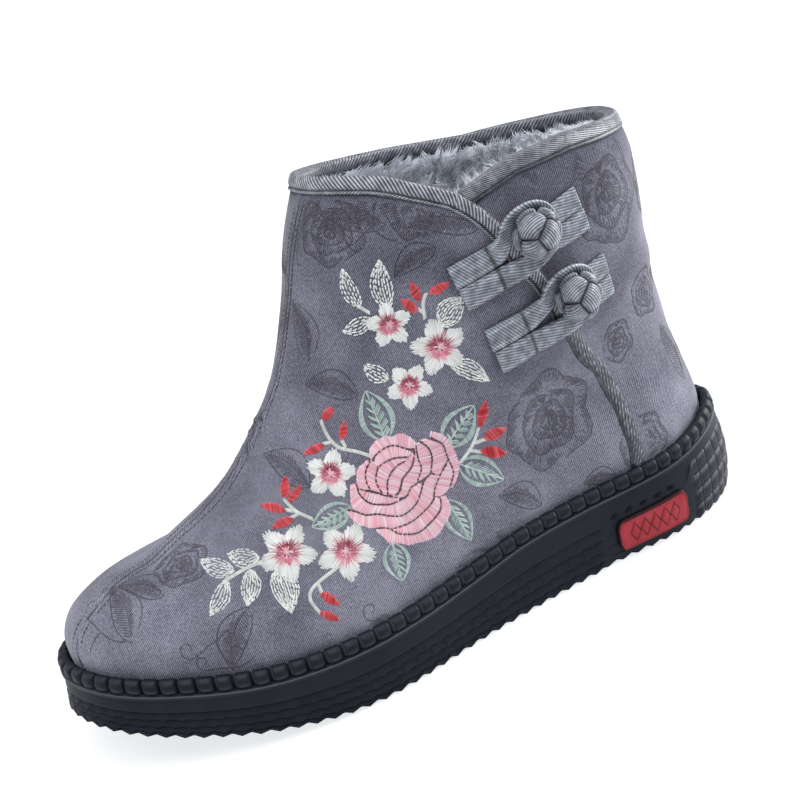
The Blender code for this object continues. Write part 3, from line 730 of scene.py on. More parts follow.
# Meshes
def grid_faces(rows, columns, wrap_rows=False, wrap_columns=False):
    """Quads of a grid of points, row by row."""
    steps = np.arange(rows - (not wrap_rows)), np.arange(columns - (not wrap_columns))
    r, c = np.meshgrid(*steps, indexing="ij")
    r2, c2 = (r + 1) % rows, (c + 1) % columns
    quads = np.stack([r * columns + c, r * columns + c2, r2 * columns + c2, r2 * columns + c], -1)
    return quads.reshape(-1, 4).tolist()


def tube_faces(rows, around):
    """Faces of a row of rings, with a flat cap at each end."""
    last = (rows - 1) * around
    caps = [list(range(around)), list(range(last, last + around))]
    return grid_faces(rows, around, False, True) + caps


def loft_faces(rows, around):
    """Faces of a row of rings, with quads from side to side across the first and the last."""
    faces = grid_faces(rows, around, False, True)
    for start in (0, (rows - 1) * around):
        for k in range(1, around // 2):
            far = start + around - k
            faces.append([start + k, start + k + 1, far - 1, far])
    return faces


ATTRIBUTES = {
    # name: kind, field
    "shade": ("FLOAT", "value"), "thread": ("FLOAT_COLOR", "color"), "weave": ("FLOAT_VECTOR", "vector"),
}


def piece(name, points, faces, looks, slot, nodes=(), soft=True, outward=True, **values):
    """One visible piece from points in millimetres in the form's axes; values are its attributes."""
    mesh = bpy.data.meshes.new(name)
    mesh.from_pydata(((np.asarray(points).reshape(-1, 3) + SHIFT) * MM).tolist(), [], faces)
    mesh.materials.append(looks)
    if outward:
        work = bmesh.new()
        work.from_mesh(mesh)
        bmesh.ops.recalc_face_normals(work, faces=work.faces)
        work.to_mesh(mesh)
        work.free()
    if soft:
        mesh.polygons.foreach_set("use_smooth", np.ones(len(mesh.polygons), bool))
    for key, rows in values.items():
        kind, field = ATTRIBUTES[key]
        if key == "thread":
            rows = np.pad(np.reshape(rows, (-1, 3)), ((0, 0), (0, 1)), constant_values=1.0)
        mesh.attributes.new(key, kind, "POINT").data.foreach_set(field, np.ravel(rows).astype(np.float32))
    made = bpy.data.objects.new(name, mesh)
    bpy.context.scene.collection.objects.link(made)
    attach(made, "root")
    if nodes:
        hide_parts(*nodes)
    return made


def wall(u, v, outer_lift, inner_lift, inner_rows):
    """Closed sections of a wall: outer face up each column, inner face down again."""
    outer = cloth_point(u, v, outer_lift)
    rows = np.linspace(v.shape[1] - 1, 0, inner_rows).round().astype(int)
    inner = upper_point(u[:, rows], v[:, rows]) + upper_normal(u[:, rows], v[:, rows]) * inner_lift
    return np.concatenate([outer, inner], axis=1)


# Upper
CLOTH_STEP, CLOTH_ROWS, CLOTH_BACK_ROWS, CLOTH_THICK, CLOTH_MARGIN = 1 / 6, 132, 16, 1.6, 0.05
LINING_STEP, LINING_ROWS, LINING_LOW, LINING_GAP, LINING_OVER = 1 / 2, 40, 0.03, 0.1, 0.2
DOWN_DEPTH, DOWN_ROUND, DOWN_UP, DOWN_SWAY, DOWN_SWAYS = 0.35, 61, 95, 3, 40
NUDGE = 1e-6


def build_upper():
    columns = np.concatenate([np.arange(0, FLAP_COLUMN + NUDGE, CLOTH_STEP),
                              np.arange(FLAP_COLUMN + 1, FRONT_COLUMN - NUDGE, CLOTH_STEP),
                              np.arange(FRONT_COLUMN, COLUMNS - NUDGE, CLOTH_STEP)])
    top = collar_top(column_u(columns, 1.0), BINDING_WIDTH + CLOTH_MARGIN)
    v = top[:, None] * np.linspace(0, 1, CLOTH_ROWS)
    u = column_u(columns[:, None], v)
    sections = wall(u, v, 0.0, -CLOTH_THICK, CLOTH_BACK_ROWS)
    weave = np.zeros_like(sections)
    weave[:, :CLOTH_ROWS] = weave_at(u, v)
    faces = grid_faces(*sections.shape[:2], True, True)
    piece("upper_cloth", sections, faces, CLOTH, "cloth", ["upper"], weave=weave)


def build_lining():
    u = np.arange(0, COLUMNS, LINING_STEP) / COLUMNS
    top = collar_top(u, BINDING_WIDTH)
    v = LINING_LOW + (top[:, None] - LINING_LOW) * np.linspace(0, 1, LINING_ROWS)
    u = np.broadcast_to(u[:, None], v.shape)
    normal = upper_normal(u, v)
    outer = upper_point(u, v) - normal * (CLOTH_THICK + LINING_GAP)
    sway = DOWN_SWAY * np.sin(DOWN_SWAYS * v)
    down = DOWN_DEPTH * np.sin(DOWN_ROUND * 2 * pi * u + sway) * np.sin(DOWN_UP * v)
    inner = upper_point(u, v) - normal * (WALL + LINING_OVER + down)[..., None]
    sections = np.concatenate([outer, inner[:, ::-1]], axis=1)
    piece("lining", sections, grid_faces(*sections.shape[:2], True, True), PLUSH, "plush")


# Tapes
TAPE_STEP, TAPE_ROUNDS, TAPE_PITCH, TAPE_RIB, FINE_RIB = 0.38, 34, 1.5, 0.26, 0.42
TAPE_PROFILE = [
    # distance from the edge, height over the cloth at the collar, height on the flap, rib weight, cord weight
    (5.95, -0.30, -0.30, 0, 0), (6.05, 0.35, 0.35, 0, 1), (5.85, 0.75, 0.75, 0, 1), (5.5, 0.90, 0.90, 0, 1),
    (5.15, 0.75, 0.75, 0, 1), (4.95, 0.38, 0.38, 0, 0), (4.75, 0.60, 0.60, 0.4, 0), (4.3, 0.95, 0.95, 1, 0),
    (3.6, 1.10, 1.10, 1, 0), (2.8, 1.18, 1.18, 1, 0), (2.0, 1.15, 1.15, 1, 0), (1.2, 1.05, 1.05, 1, 0),
    (0.5, 0.80, 0.85, 1, 0), (0.0, 0.35, 0.60, 1, 0), (-0.35, -0.4, 0.30, 1, 0), (-0.45, -1.4, -0.05, 1, 0),
    (-0.35, -2.4, -0.35, 1, 0), (0.0, -3.1, -0.60, 1, 0), (0.5, -3.5, -0.70, 1, 0),
    (1.3, -3.75, -0.60, 1, 0), (2.4, -3.85, -0.50, 1, 0), (3.4, -3.85, -0.45, 1, 0),
    (4.4, -3.75, -0.40, 1, 0), (5.2, -3.45, -0.35, 0.5, 0), (5.5, -2.9, -0.32, 0, 0),
    (5.7, -1.5, -0.30, 0, 0),
]
FRONT_PATH = [
    # u, v of the front panel's free edge, from the front seam to the sole
    (0.500, 1.000), (0.470, 1.000), (0.440, 1.000), (0.410, 0.999), (0.380, 0.996), (0.357, 0.990),
    (0.336, 0.981), (0.314, 0.970), (0.293, 0.955), (0.272, 0.926), (0.2553, 0.883), (0.2370, 0.810),
    (0.2180, 0.740), (0.1920, 0.610), (0.1600, 0.455), (0.1365, 0.360), (0.1147, 0.230), (0.1025, 0.120),
    (0.1010, 0.060), (0.1018, 0.022),
]
FLAP_FROM, FLAP_UNTIL, PATH_FINE = 0.335, 0.275, 600
# The back tape's shade is scaled down: painted shade that makes it darker than the front tape
BACK_FROM, BACK_TO, BACK_FINE, BACK_PAINTED_SHADE = 0.5, 1.292, 900, 0.78
RIB_SLANT, LAY_SLANT, LAY_SLIDE, LAY_FLAT = 0.9, 2.2, 0.6, 0.8
CORD_SLANT, CORD_PITCH, CORD_DIM = 1.2, 0.8 * TAPE_PITCH, 0.6
STRIP_TURN, STRIP_DIM, STRIP_GROOVE, GROOVE_EDGE = (0.58, 0.70), 0.2, 0.75, (5.05, 5.5)
BRAID_TURN, BRAID_PITCH, BRAID_LENGTH, BRAID_SLANT = 0.30, 1.15, 2.3, 0.45
# Painted shadow on the tape's inside face, darker further below the edge
TAPE_INSIDE, INSIDE_EDGE, INSIDE_PAINTED_SHADE = -3.0, (1.5, 4.5), 0.9


def build_tape(name, u, v, flapness, lay, tone, flip, nodes):
    """Ribbed tape round an edge; flapness is 1 where it lies on the flap, lay where its ribs are fine."""
    edge = cloth_point(u, v)
    inward = unit(np.cross(unit(np.gradient(edge, axis=0)), upper_normal(u, v))) * flip
    length = along(edge)
    profile = np.array(TAPE_PROFILE)
    rounds = along(profile[:, :2])
    reach = np.linspace(0, rounds[-1], TAPE_ROUNDS)
    strip = flapness * (1 - smooth(*STRIP_TURN, v))
    tone = tone * (1 - STRIP_DIM * strip)
    slide = np.concatenate([[0.0], np.cumsum(np.diff(length) * (1 - LAY_SLIDE * lay[1:]))])
    pitch = TAPE_PITCH * (1 - FINE_RIB * lay)
    points, shade, weave = [], [], []
    for (away, at_collar, at_flap, rib, cord), turn in zip(sampled(reach, rounds, profile), reach):
        uu, vv = walk(u, v, inward * max(away, 0.0))
        inside = at_collar < TAPE_INSIDE
        rib_phase = (slide + turn * (RIB_SLANT - LAY_SLANT * lay)) / pitch
        cord_phase = (length - CORD_SLANT * turn) / CORD_PITCH
        braid_phase = (turn + BRAID_TURN * length) / BRAID_PITCH
        phase = np.where(strip > 0.5, braid_phase, cord_phase if cord else rib_phase)
        fleck = np.where(strip > 0.5, length / BRAID_LENGTH + BRAID_SLANT * turn, 0.5)
        groove = strip * smooth(*GROOVE_EDGE, away)
        # Painted shadow: in the groove along the strip's inner edge the weight, and so the shade, drops to
        # dark, over a real dip in the tape
        weight = max(rib, cord) * (1 - groove)
        ridge = TAPE_RIB * weight * np.sin(pi * phase) ** 2 * (1 - LAY_FLAT * lay)
        out = at_collar + (at_flap - at_collar) * flapness
        out = out - ridge * (1 - flapness) if inside else out + ridge - STRIP_GROOVE * groove
        base = upper_point(uu, vv) + upper_normal(uu, vv) * (flap_step(uu, vv) + out)[:, None]
        points.append(base - inward * min(away, 0.0))
        # Painted shadow: the inside face darkens further down, under the tape's top roll
        inside_shadow = INSIDE_PAINTED_SHADE * smooth(*INSIDE_EDGE, away) if inside else 0.0
        shade.append(tone * weight * (1 - CORD_DIM * cord * lay) * (1 - inside_shadow))
        weave.append(np.stack([phase, fleck, np.zeros_like(phase)], -1))
    faces = tube_faces(len(u), TAPE_ROUNDS)
    points, shade, weave = (np.stack(rows, 1) for rows in (points, shade, weave))
    piece(name, points, faces, TAPE, "tape", nodes, shade=shade, weave=weave)


def build_tapes():
    path = open_curve(FRONT_PATH, PATH_FINE)
    length = along(cloth_point(path[:, 0], path[:, 1]))
    u, v = sampled(np.linspace(0, length[-1], int(length[-1] / TAPE_STEP)), length, path).T
    flapness = 1 - smooth(FLAP_UNTIL, FLAP_FROM, u)
    build_tape("front_tape", u, v, flapness, 0 * u, 1 + 0 * u, 1, ["front_binding", "flap_strip"])
    u = np.linspace(BACK_FROM, BACK_TO, BACK_FINE)
    length = along(upper_point(u, straight(COLLAR_EDGE, np.mod(u, 1.0))))
    u = np.interp(np.arange(0, length[-1], TAPE_STEP), length, u)
    lay = (u > 1.0) * 1.0
    u = np.mod(u, 1.0)
    v = straight(COLLAR_EDGE, u)
    # The back tape is painted darker throughout than the front tape: painted shade
    build_tape("back_tape", u, v, 0 * u, lay, BACK_PAINTED_SHADE + 0 * u, -1, ["back_binding"])


# Sole
class SoleColumns:
    """Columns of the sole's surface, a few on each bead of the rim."""

    def __init__(self):
        self.bead = (np.arange(BEADS)[:, None] + np.array(BEAD_COLUMNS)).ravel()
        self.u = self.bead / BEADS
        self.on_bead = self.bead - np.round(self.bead)
        self.saw = np.interp(np.mod(self.bead, 1.0), (0, SAW_TIP, 1), (0, 1, 0))
        self.lip = lip_height(self.u)
        x, y = lip_point(self.u).T
        self.heel = smooth(STUD_FROM, STUD_FULL, x)
        self.height = self.lip + SIDE_TOP - ground(x, y)
        margin = PAD_EDGE * PAD_MARGIN
        before = smooth(BADGE_FROM - PAD_MARGIN, BADGE_FROM - margin, self.u)
        self.pad = before * (1 - smooth(BADGE_TO + margin, BADGE_TO + PAD_MARGIN, self.u))


def rim_rows(at):
    """Rows of the beads and the lip, and their light."""
    far = np.abs(at.on_bead)
    gap = smooth(*BEAD_GAP, far)
    crown = BEAD_CROWN * (1 - (2 * at.on_bead) ** 2)
    dash = BEAD_DASH * (1 - smooth(*DASH_END, far))
    corner = CORNER_LIGHT * hump(at.on_bead, CORNER_AT, CORNER_WIDTH)
    rows, shade = [], []
    for k, (bead_inset, gap_inset, bead_rise, gap_rise) in enumerate(RIM_ROWS):
        inset = bead_inset + (gap_inset - bead_inset) * gap
        inset = inset - crown * (k in CROWN_ROWS) - dash * (k == DASH_LINE)
        rows.append(lifted(outline(at.u, inset), at.lip + bead_rise + (gap_rise - bead_rise) * gap))
        light = BEAD_LIGHT.get(k, 0.0) * (1 - smooth(*BEAD_LIGHT_END, far)) + LIP_LIGHT.get(k, 0.0)
        shade.append(np.maximum(light, corner * (k in CORNER_ROWS)))
    return rows, shade


def band_rows(at):
    """Rows of the plain band under the lip, with the notches over the badge."""
    drawn_up = 1 - (1 - STUD_START / BRICK_ROWS[0]) * at.heel
    rows = []
    for share in BAND_SHARES:
        inset = BAND_INSET + (BRICK_LOW - BAND_INSET) * share / BRICK_ROWS[0]
        half = NOTCH_WIDTH * (share - NOTCH_TOP) / (NOTCH_LOW - NOTCH_TOP) * (share < NOTCH_LOW)
        for middle in BADGE_FROM + (BADGE_TO - BADGE_FROM) * np.linspace(*NOTCHES):
            into = (half - np.abs(at.u - middle)) / NOTCH_WIDTH
            inset = inset + NOTCH_DEEP * smooth(0.0, NOTCH_EDGE, into)
        drawn = share * drawn_up
        rows.append(side_point(at.u, drawn, side_inset(at.u, drawn, inset)))
    return rows


def brick_rows(at):
    """Rows of the side's bricks and the heel's studs, and their light."""
    count = len(BRICK_ROWS) - 1
    studs = STUD_START + (1 - STUD_START) * np.arange(count + 1) / count
    phases = [np.mod(at.bead + 0.5 * (r % 2), 1.0) for r in range(count)]
    teeth = [BRICK_TOOTH * np.interp(phase, (0, BRICK_TIP, 1), (-1, 1, -1)) for phase in phases]
    teeth = [tooth * (1 - at.pad) * (1 - at.heel) for tooth in teeth] + [-EDGE_TOOTH * at.saw]
    edges = [brick + (stud - brick) * at.heel + tooth / at.height
             for brick, stud, tooth in zip(BRICK_ROWS, studs, teeth)]
    stud_wide = 1 - np.abs(2 * at.on_bead) ** STUD_WIDE_POWER
    stud_lit = np.abs(at.on_bead - STUD_LIGHT_AT) < STUD_LIGHT_NEAR
    rows, shade = [], []
    for phase, start, end in zip(phases, edges, edges[1:]):
        for q in BRICK_STEPS:
            share = start + (end - start) * q
            slope = BRICK_SLOPE * (phase - 0.5) * min(1, BRICK_CORNER * q)
            brick = BRICK_TOP + (BRICK_LOW - BRICK_TOP) * q ** BRICK_HOLLOW - slope
            stud = STUD_GROOVE - STUD_RISE * stud_wide * (1 - abs(2 * q - 1) ** STUD_TALL_POWER)
            inset = brick + (stud - brick) * at.heel
            inset = inset + (EDGE_INSET * share - inset) * at.pad
            rows.append(side_point(at.u, share, side_inset(at.u, share, inset)))
            lit = np.maximum(q == STUD_LIGHT_STEP, stud_lit)
            shade.append(STUD_LIGHT * at.heel * (1 - at.pad) * lit)
    return rows, shade


def tread_rows(at):
    """Rows of the toothed border under the sole and of the bars inside it."""
    edge = side_inset(at.u, 1.0, EDGE_INSET)
    rows = [side_point(at.u, 1.0, edge + inset, weight * EDGE_TOOTH * at.saw)
            for inset, weight in BORDER_STEPS]
    border = rows[-1][:, :2]
    for share in TREAD_STEPS:
        flat = toward_spine(border, TREAD_SPINE, share)
        x, y = flat.T
        bar = np.mod((x + BAR_SLOPE * np.abs(y)) / BAR_PITCH, 1.0)
        rows.append(lifted(flat, ground(x, y) + BAR_RISE + BAR_DEPTH * smooth(*BAR_EDGE, np.abs(bar - 0.5))))
    return rows


def build_sole():
    at = SoleColumns()
    rim, rim_light = rim_rows(at)
    band = band_rows(at)
    bricks, brick_light = brick_rows(at)
    points = np.stack(rim + band + bricks + tread_rows(at))
    shade = np.zeros(points.shape[:2])
    shade[:len(rim)] = rim_light
    first = len(rim) + len(band)
    shade[first:first + len(bricks)] = brick_light
    piece("rubber_sole", points, loft_faces(*shade.shape), RUBBER, "rubber", ["outsole"], shade=shade)


# Badge
BADGE_ACROSS, BADGE_ROWS, BADGE_STRAIGHT, BADGE_TUCK = 72, 28, 0.35, 0.20
BADGE_HALF_LENGTH, BADGE_HALF_HEIGHT = 15.5, 4.9
BADGE_ROUNDING, BADGE_OVER, BADGE_UNDER = (-0.4, 0.5), 0.1, 0.05
BORDER_GROOVE, BORDER_AT, BORDER_SPREAD, BORDER_DARK = 0.45, 1.35, 0.28, (0.5, 0.95)
LOZENGES, LOZENGE_HALF, LOZENGE_RISE, LOZENGE_EDGE = (-0.56, 0.56, 5), (0.115, 0.52), 0.35, (0.75, 1.0)
LOZENGE_GROOVE, LOZENGE_LINE, LOZENGE_SPREAD, LOZENGE_DARK = 0.4, 1.12, 0.13, 0.85


def build_badge():
    """Red plate with a raised border and a row of plain lozenges."""
    t, y = np.meshgrid(np.linspace(-1, 1, BADGE_ACROSS), np.linspace(-1, 1, BADGE_ROWS), indexing="ij")
    corner = np.clip((np.abs(y) - BADGE_STRAIGHT) / (1 - BADGE_STRAIGHT), 0, 1)
    x = t * (1 - BADGE_TUCK * (1 - np.sqrt(1 - corner ** 2)))
    u = BADGE_FROM + (BADGE_TO - BADGE_FROM) * (x + 1) / 2
    share = 1 - (BADGE_LOW + (BADGE_HIGH - BADGE_LOW) * (y + 1) / 2)
    rim = np.minimum((1 - np.abs(t)) * BADGE_HALF_LENGTH, (1 - np.abs(y)) * BADGE_HALF_HEIGHT)
    lift = GAP + BADGE_THICK * smooth(*BADGE_ROUNDING, rim) + BADGE_OVER
    lift -= BORDER_GROOVE * hump(rim, BORDER_AT, BORDER_SPREAD)
    dark = 1 - smooth(*BORDER_DARK, rim)
    for middle in np.linspace(*LOZENGES):
        far = np.abs(x - middle) / LOZENGE_HALF[0] + np.abs(y) / LOZENGE_HALF[1]
        outlined = hump(far, LOZENGE_LINE, LOZENGE_SPREAD)
        lift += LOZENGE_RISE * (1 - smooth(*LOZENGE_EDGE, far)) - LOZENGE_GROOVE * outlined
        dark = np.maximum(dark, LOZENGE_DARK * outlined)
    side = side_inset(u, share, EDGE_INSET * share)
    points = np.stack([side_point(u, share, side - lift), side_point(u, share, side - BADGE_UNDER)])
    size = t.size
    faces = grid_faces(*t.shape)
    faces += [[size + k for k in reversed(face)] for face in faces]
    spots = np.arange(size).reshape(t.shape)
    ring = np.concatenate([spots[:, 0], spots[-1, 1:], spots[-2::-1, -1], spots[0, -2:0:-1]])
    after = np.roll(ring, -1)
    faces += np.stack([ring, after, after + size, ring + size], -1).tolist()
    shade = np.stack([dark, np.ones_like(dark)])
    piece("badge_plate", points, faces, BADGE, "badge", ["heel_badge"], shade=shade)


# Frogs
FROGS = [
    # name, knot u, knot v, slope, strap reach, tail reach, ribbons' middle from the knot, cross seam
    ("upper", 0.2377, 0.8623, -11.0, 29.7, 23.0, -5.0, 15.4),
    ("lower", 0.1995, 0.6775, -8.8, 32.5, 20.5, -4.6, 18.5),
]
RIBBON_FINE, RIBBON_STEP, RIBBON_PITCH, RIBBON_ROUNDS, RIBBON_THICK = 400, 0.35, 0.98, 24, 1.9
WIDE_POWER, TALL_POWER = 0.55, 0.7
PINCH_DEPTH, PINCH_WIDTH, PINCH_SHADE, PINCH_POWER = 0.5, 0.55, 0.1, 3
LEG_LAY, TAIL_LAY, LAY_TURN = (0.85, 0.53), (0.32, 0.95), (0.40, 0.55)
LEG_SPREAD, TAIL_SPREAD = 4.2, 4.1
LEG_ROWS = [
    # share of the way from the strap's end to the cross seam, width, lift
    (0.0, 8.3, 2.5), (0.5, 8.3, 2.7), (1.0, 8.0, 2.9),
]
# Ribbon next to the loop: a from the cross seam or the knot, b from the leg, width, lift, tilt
STRAP_PART = (-3.0, 0.6, 7.9, 3.5, 2)
STRAP_TURN = (5.8, -0.6, 7.0, 3.9, 8)
STRAP_JOIN = (-4.0, -0.2, 7.8, 3.4, 2)
STRAP_LOOP = [
    # a, b, width, lift, tilt of the ribbon round the knot
    (9.6, 1.9, 6.6, 4.2, 8), (7.0, 5.6, 6.0, 5.0, 22), (2.8, 8.0, 5.6, 5.9, 34), (-2.8, 8.0, 5.2, 6.3, 40),
    (-7.0, 5.2, 5.0, 6.0, 40), (-8.5, 0.2, 4.6, 5.4, 38), (-7.8, -4.6, 4.6, 4.8, 32),
    (-4.8, -7.8, 5.0, 4.4, 26), (0.5, -9.4, 6.0, 4.1, 16),
]
TAIL_START, TAIL_THICK = 5.0, 1.6
TAIL_ROWS = [
    # share of the way from the knot to the tail's end, share of the spread, width, lift
    (0.0, 0.9, 7.2, 1.85), (0.5, 1.0, 8.0, 1.45), (1.0, 1.0, 8.3, 1.25),
]
KNOT_RADIUS, KNOT_HALF_HEIGHT, KNOT_LIFT, KNOT_PITCH = 8.7, 6.2, 9.5, 0.95
KNOT_PADS = [
    # right, up and outward direction of a pad in the photo, slope of its ribs
    (-0.30, 0.28, 0.91, 50), (0.77, -0.22, 0.60, -40), (-0.12, -0.90, 0.42, 62), (-0.92, -0.35, -0.20, 70),
    (-0.60, 0.80, -0.10, 0), (0.45, 0.88, -0.15, 40), (0.95, 0.25, -0.35, 30), (0.62, -0.74, -0.35, -60),
    (-0.62, -0.70, -0.45, 20), (0.0, 0.0, -1.0, 0),
]
PAD_RINGS, PAD_SPOKES, PAD_REACH = 12, 52, 1.2
PAD_TOP, PAD_DROP, PAD_POWER, PAD_BASE = 1.02, 0.20, 5, 0.6
# PAD_EDGE_SHADE: painted shade towards each pad's rim
PAD_EDGE_SHADE, PAD_EDGE_SHADE_POWER, TILT = 0.9, 6, 1e-3
PLACE_ROUNDS = 6


class Patch:
    """Flat axes laid on the upper round a knot: a runs forward along the strap, b upward across it."""

    def __init__(self, u, v, slope):
        self.u, self.v = u, v
        self.origin = upper_point(u, v)
        self.normal = upper_normal(u, v)
        level = unit(np.cross((0, 0, 1), self.normal))
        forward = level if level[0] < 0 else -level
        upward = np.cross(forward, self.normal)
        upward = upward if upward[2] > 0 else -upward
        turn = radians(slope)
        self.a = forward * cos(turn) + upward * sin(turn)
        self.b = upward * cos(turn) - forward * sin(turn)

    def place(self, a, b):
        """u and v of the surface points that lie at (a, b)."""
        a, b = np.asarray(a, float)[..., None], np.asarray(b, float)[..., None]
        u, v = np.full(a.shape[:-1], self.u), np.full(a.shape[:-1], self.v)
        for _ in range(PLACE_ROUNDS):
            off = upper_point(u, v) - self.origin
            step = self.a * (a - (off @ self.a)[..., None]) + self.b * (b - (off @ self.b)[..., None])
            u, v = walk(u, v, step)
        return u, v

    def point(self, a, b, lift):
        """Points at a height over the surface, and the surface's normals there."""
        u, v = self.place(a, b)
        normal = upper_normal(u, v)
        return upper_point(u, v) + normal * np.asarray(lift)[..., None], normal


def squared(wave, power):
    return np.sign(wave) * np.abs(wave) ** power


def build_ribbon(name, patch, rows, thick, nodes, first_lay, last_lay, pinch=None):
    """Satin ribbon along rows of (a, b, width, lift, tilt); its ribs turn from one lay to the other."""
    path = open_curve(rows, RIBBON_FINE)
    centre, normal = patch.point(path[:, 0], path[:, 1], path[:, 3])
    length = along(centre)
    count = int(length[-1] / RIBBON_STEP)
    wanted = np.linspace(0, length[-1], count)
    path, centre, normal = (sampled(wanted, length, table) for table in (path, centre, normal))
    run = unit(np.gradient(centre, axis=0))
    side = unit(np.cross(unit(normal), run))
    normal = np.cross(run, side)
    tilt = np.radians(path[:, 4:])
    side, normal = side * np.cos(tilt) + normal * np.sin(tilt), normal * np.cos(tilt) - side * np.sin(tilt)
    squeeze = np.ones((count, 1))
    if pinch is not None:
        squeeze -= PINCH_DEPTH * hump(path[:, :1], pinch, PINCH_WIDTH)
    turned = smooth(*LAY_TURN, wanted / wanted[-1])[:, None]
    lay = np.array(first_lay) * (1 - turned) + np.array(last_lay) * turned
    slide = np.cumsum(lay[:, :1], axis=0) * wanted[-1] / count
    ring = np.linspace(0, 2 * pi, RIBBON_ROUNDS, endpoint=False)
    across = path[:, 2:3] / 2 * squared(np.cos(ring), WIDE_POWER)
    out = thick / 2 * squared(np.sin(ring), TALL_POWER) * squeeze
    points = centre[:, None] + side[:, None] * across[..., None] + normal[:, None] * out[..., None]
    shade = np.broadcast_to(PINCH_SHADE + (1 - PINCH_SHADE) * squeeze ** PINCH_POWER, across.shape)
    weave = np.stack([(slide + lay[:, 1:] * across) / RIBBON_PITCH, np.full(across.shape, 0.5), across], -1)
    piece(name, points, tube_faces(*across.shape), RIBBON, "tape", nodes, shade=shade, weave=weave)


def build_knot(name, patch, nodes):
    """Ball of plump woven pads, each the part of the ball nearest to its own direction."""
    axes = np.stack([patch.a, patch.b, patch.normal])
    pads = unit(np.array([row[:3] for row in KNOT_PADS]) @ np.stack([RIGHT, UP, BACK]))
    pads = unit(pads @ axes.T)
    photo_right = RIGHT @ axes.T
    centre = patch.origin + patch.normal * KNOT_LIFT
    spoke = np.linspace(0, 2 * pi, PAD_SPOKES, endpoint=False)[:, None]
    share = np.linspace(0, 1, PAD_RINGS + 1)[1:, None]
    radius = np.repeat(PAD_TOP - PAD_DROP * share ** PAD_POWER, PAD_SPOKES, axis=1)
    # Painted shade: each pad darkens towards its rim, where it meets the next pad, and the inner point that
    # closes it is dark
    light = np.repeat(1 - PAD_EDGE_SHADE * share ** PAD_EDGE_SHADE_POWER, PAD_SPOKES, axis=1)
    points, faces, shade, weave = [], [], [], []
    for k, pad in enumerate(pads):
        first = unit(photo_right - pad * (photo_right @ pad) + TILT)
        second = np.cross(pad, first)
        lean = np.cos(spoke) * first + np.sin(spoke) * second
        reach = np.full(PAD_SPOKES, PAD_REACH)
        for other in np.delete(pads, k, axis=0):
            toward_other = lean @ other
            angle = np.arctan2(1 - pad @ other, toward_other)
            reach = np.where(toward_other > 0, np.minimum(reach, angle), reach)
        angle = (share * reach)[..., None]
        ball = np.cos(angle) * pad + np.sin(angle) * lean
        slope = radians(KNOT_PADS[k][3])
        comb = (ball @ first) * cos(slope) + (ball @ second) * sin(slope)
        cushion = np.vstack([PAD_TOP * pad, (ball * radius[..., None]).reshape(-1, 3), PAD_BASE * pad])
        start = k * len(cushion)
        points.append(centre + (cushion * (KNOT_RADIUS, KNOT_RADIUS, KNOT_HALF_HEIGHT)) @ axes)
        faces += [[start + 1 + i for i in quad] for quad in grid_faces(PAD_RINGS, PAD_SPOKES, False, True)]
        rim = start + 1 + (PAD_RINGS - 1) * PAD_SPOKES
        for i in range(PAD_SPOKES):
            j = (i + 1) % PAD_SPOKES
            faces.append([start, start + 1 + j, start + 1 + i])
            faces.append([rim + i, rim + j, rim + PAD_SPOKES])
        shade += [[1.0], light.ravel(), [0.0]]
        phase = np.concatenate([[0.0], comb.ravel() * KNOT_RADIUS / KNOT_PITCH, [0.0]])
        weave.append(np.stack([phase, np.full(len(phase), 0.5), np.zeros(len(phase))], -1))
    piece(name, np.vstack(points), faces, KNOT, "tape", nodes,
          shade=np.concatenate(shade), weave=np.vstack(weave))


def moved(row, a, b):
    return (row[0] + a, row[1] + b, *row[2:])


def strap_rows(reach, middle, cross):
    """Rows of the doubled strap: one leg, round the knot, the other leg back."""
    over, under = middle + LEG_SPREAD, middle - LEG_SPREAD
    first, last = ([(reach + (cross - reach) * share, b, width, lift, 0) for share, width, lift in LEG_ROWS]
                   for b in (over, under))
    part = [moved(STRAP_PART, cross, over)]
    join = [moved(STRAP_TURN, 0.0, under), moved(STRAP_JOIN, cross, under)]
    return first + part + STRAP_LOOP + join + last[::-1]


def build_frogs():
    for place, u, v, slope, strap_reach, tail_reach, middle, cross in FROGS:
        patch = Patch(u, v, slope)
        build_ribbon("strap_" + place, patch, strap_rows(strap_reach, middle, cross), RIBBON_THICK,
                     ["frog_" + place], LEG_LAY, TAIL_LAY, cross)
        build_knot("ball_knot_" + place, patch, ["knot_" + place])
        for side, b in (("over", middle + TAIL_SPREAD), ("under", middle - TAIL_SPREAD)):
            rows = [((TAIL_START - tail_reach) * share - TAIL_START, b * spread, width, lift, 0)
                    for share, spread, width, lift in TAIL_ROWS]
            nodes = ["tail_" + place] if side == "over" else ()
            build_ribbon("tail_" + place + "_" + side, patch, rows, TAIL_THICK, nodes, TAIL_LAY, TAIL_LAY)


# Embroidery: places are pixels of the photo, laid back on the cloth
THREADS = {
    # kind: points, width, height, arch, lift
    "rose": (5, 0.42, 0.34, 0.75, 0.10),
    "rose_line": (3, 0.62, 0.28, 0.3, 0.28),
    "petal": (4, 0.50, 0.42, 0.5, 0.08),
    "heart": (4, 0.46, 0.34, 0.8, 0.24),
    "centre": (3, 0.40, 0.32, 0.7, 0.36),
    "dash": (4, 0.60, 0.42, 0.9, 0.02),
    "border": (3, 0.52, 0.36, 0.6, 0.05),
    "midrib": (3, 0.7, 0.36, 0.2, 0.05),
    "vein": (4, 0.5, 0.3, 0.6, 0.05),
    "bud": (5, 0.46, 0.55, 0.85, 0.06),
    "stem": (4, 0.54, 0.42, 0.8, 0.04),
}
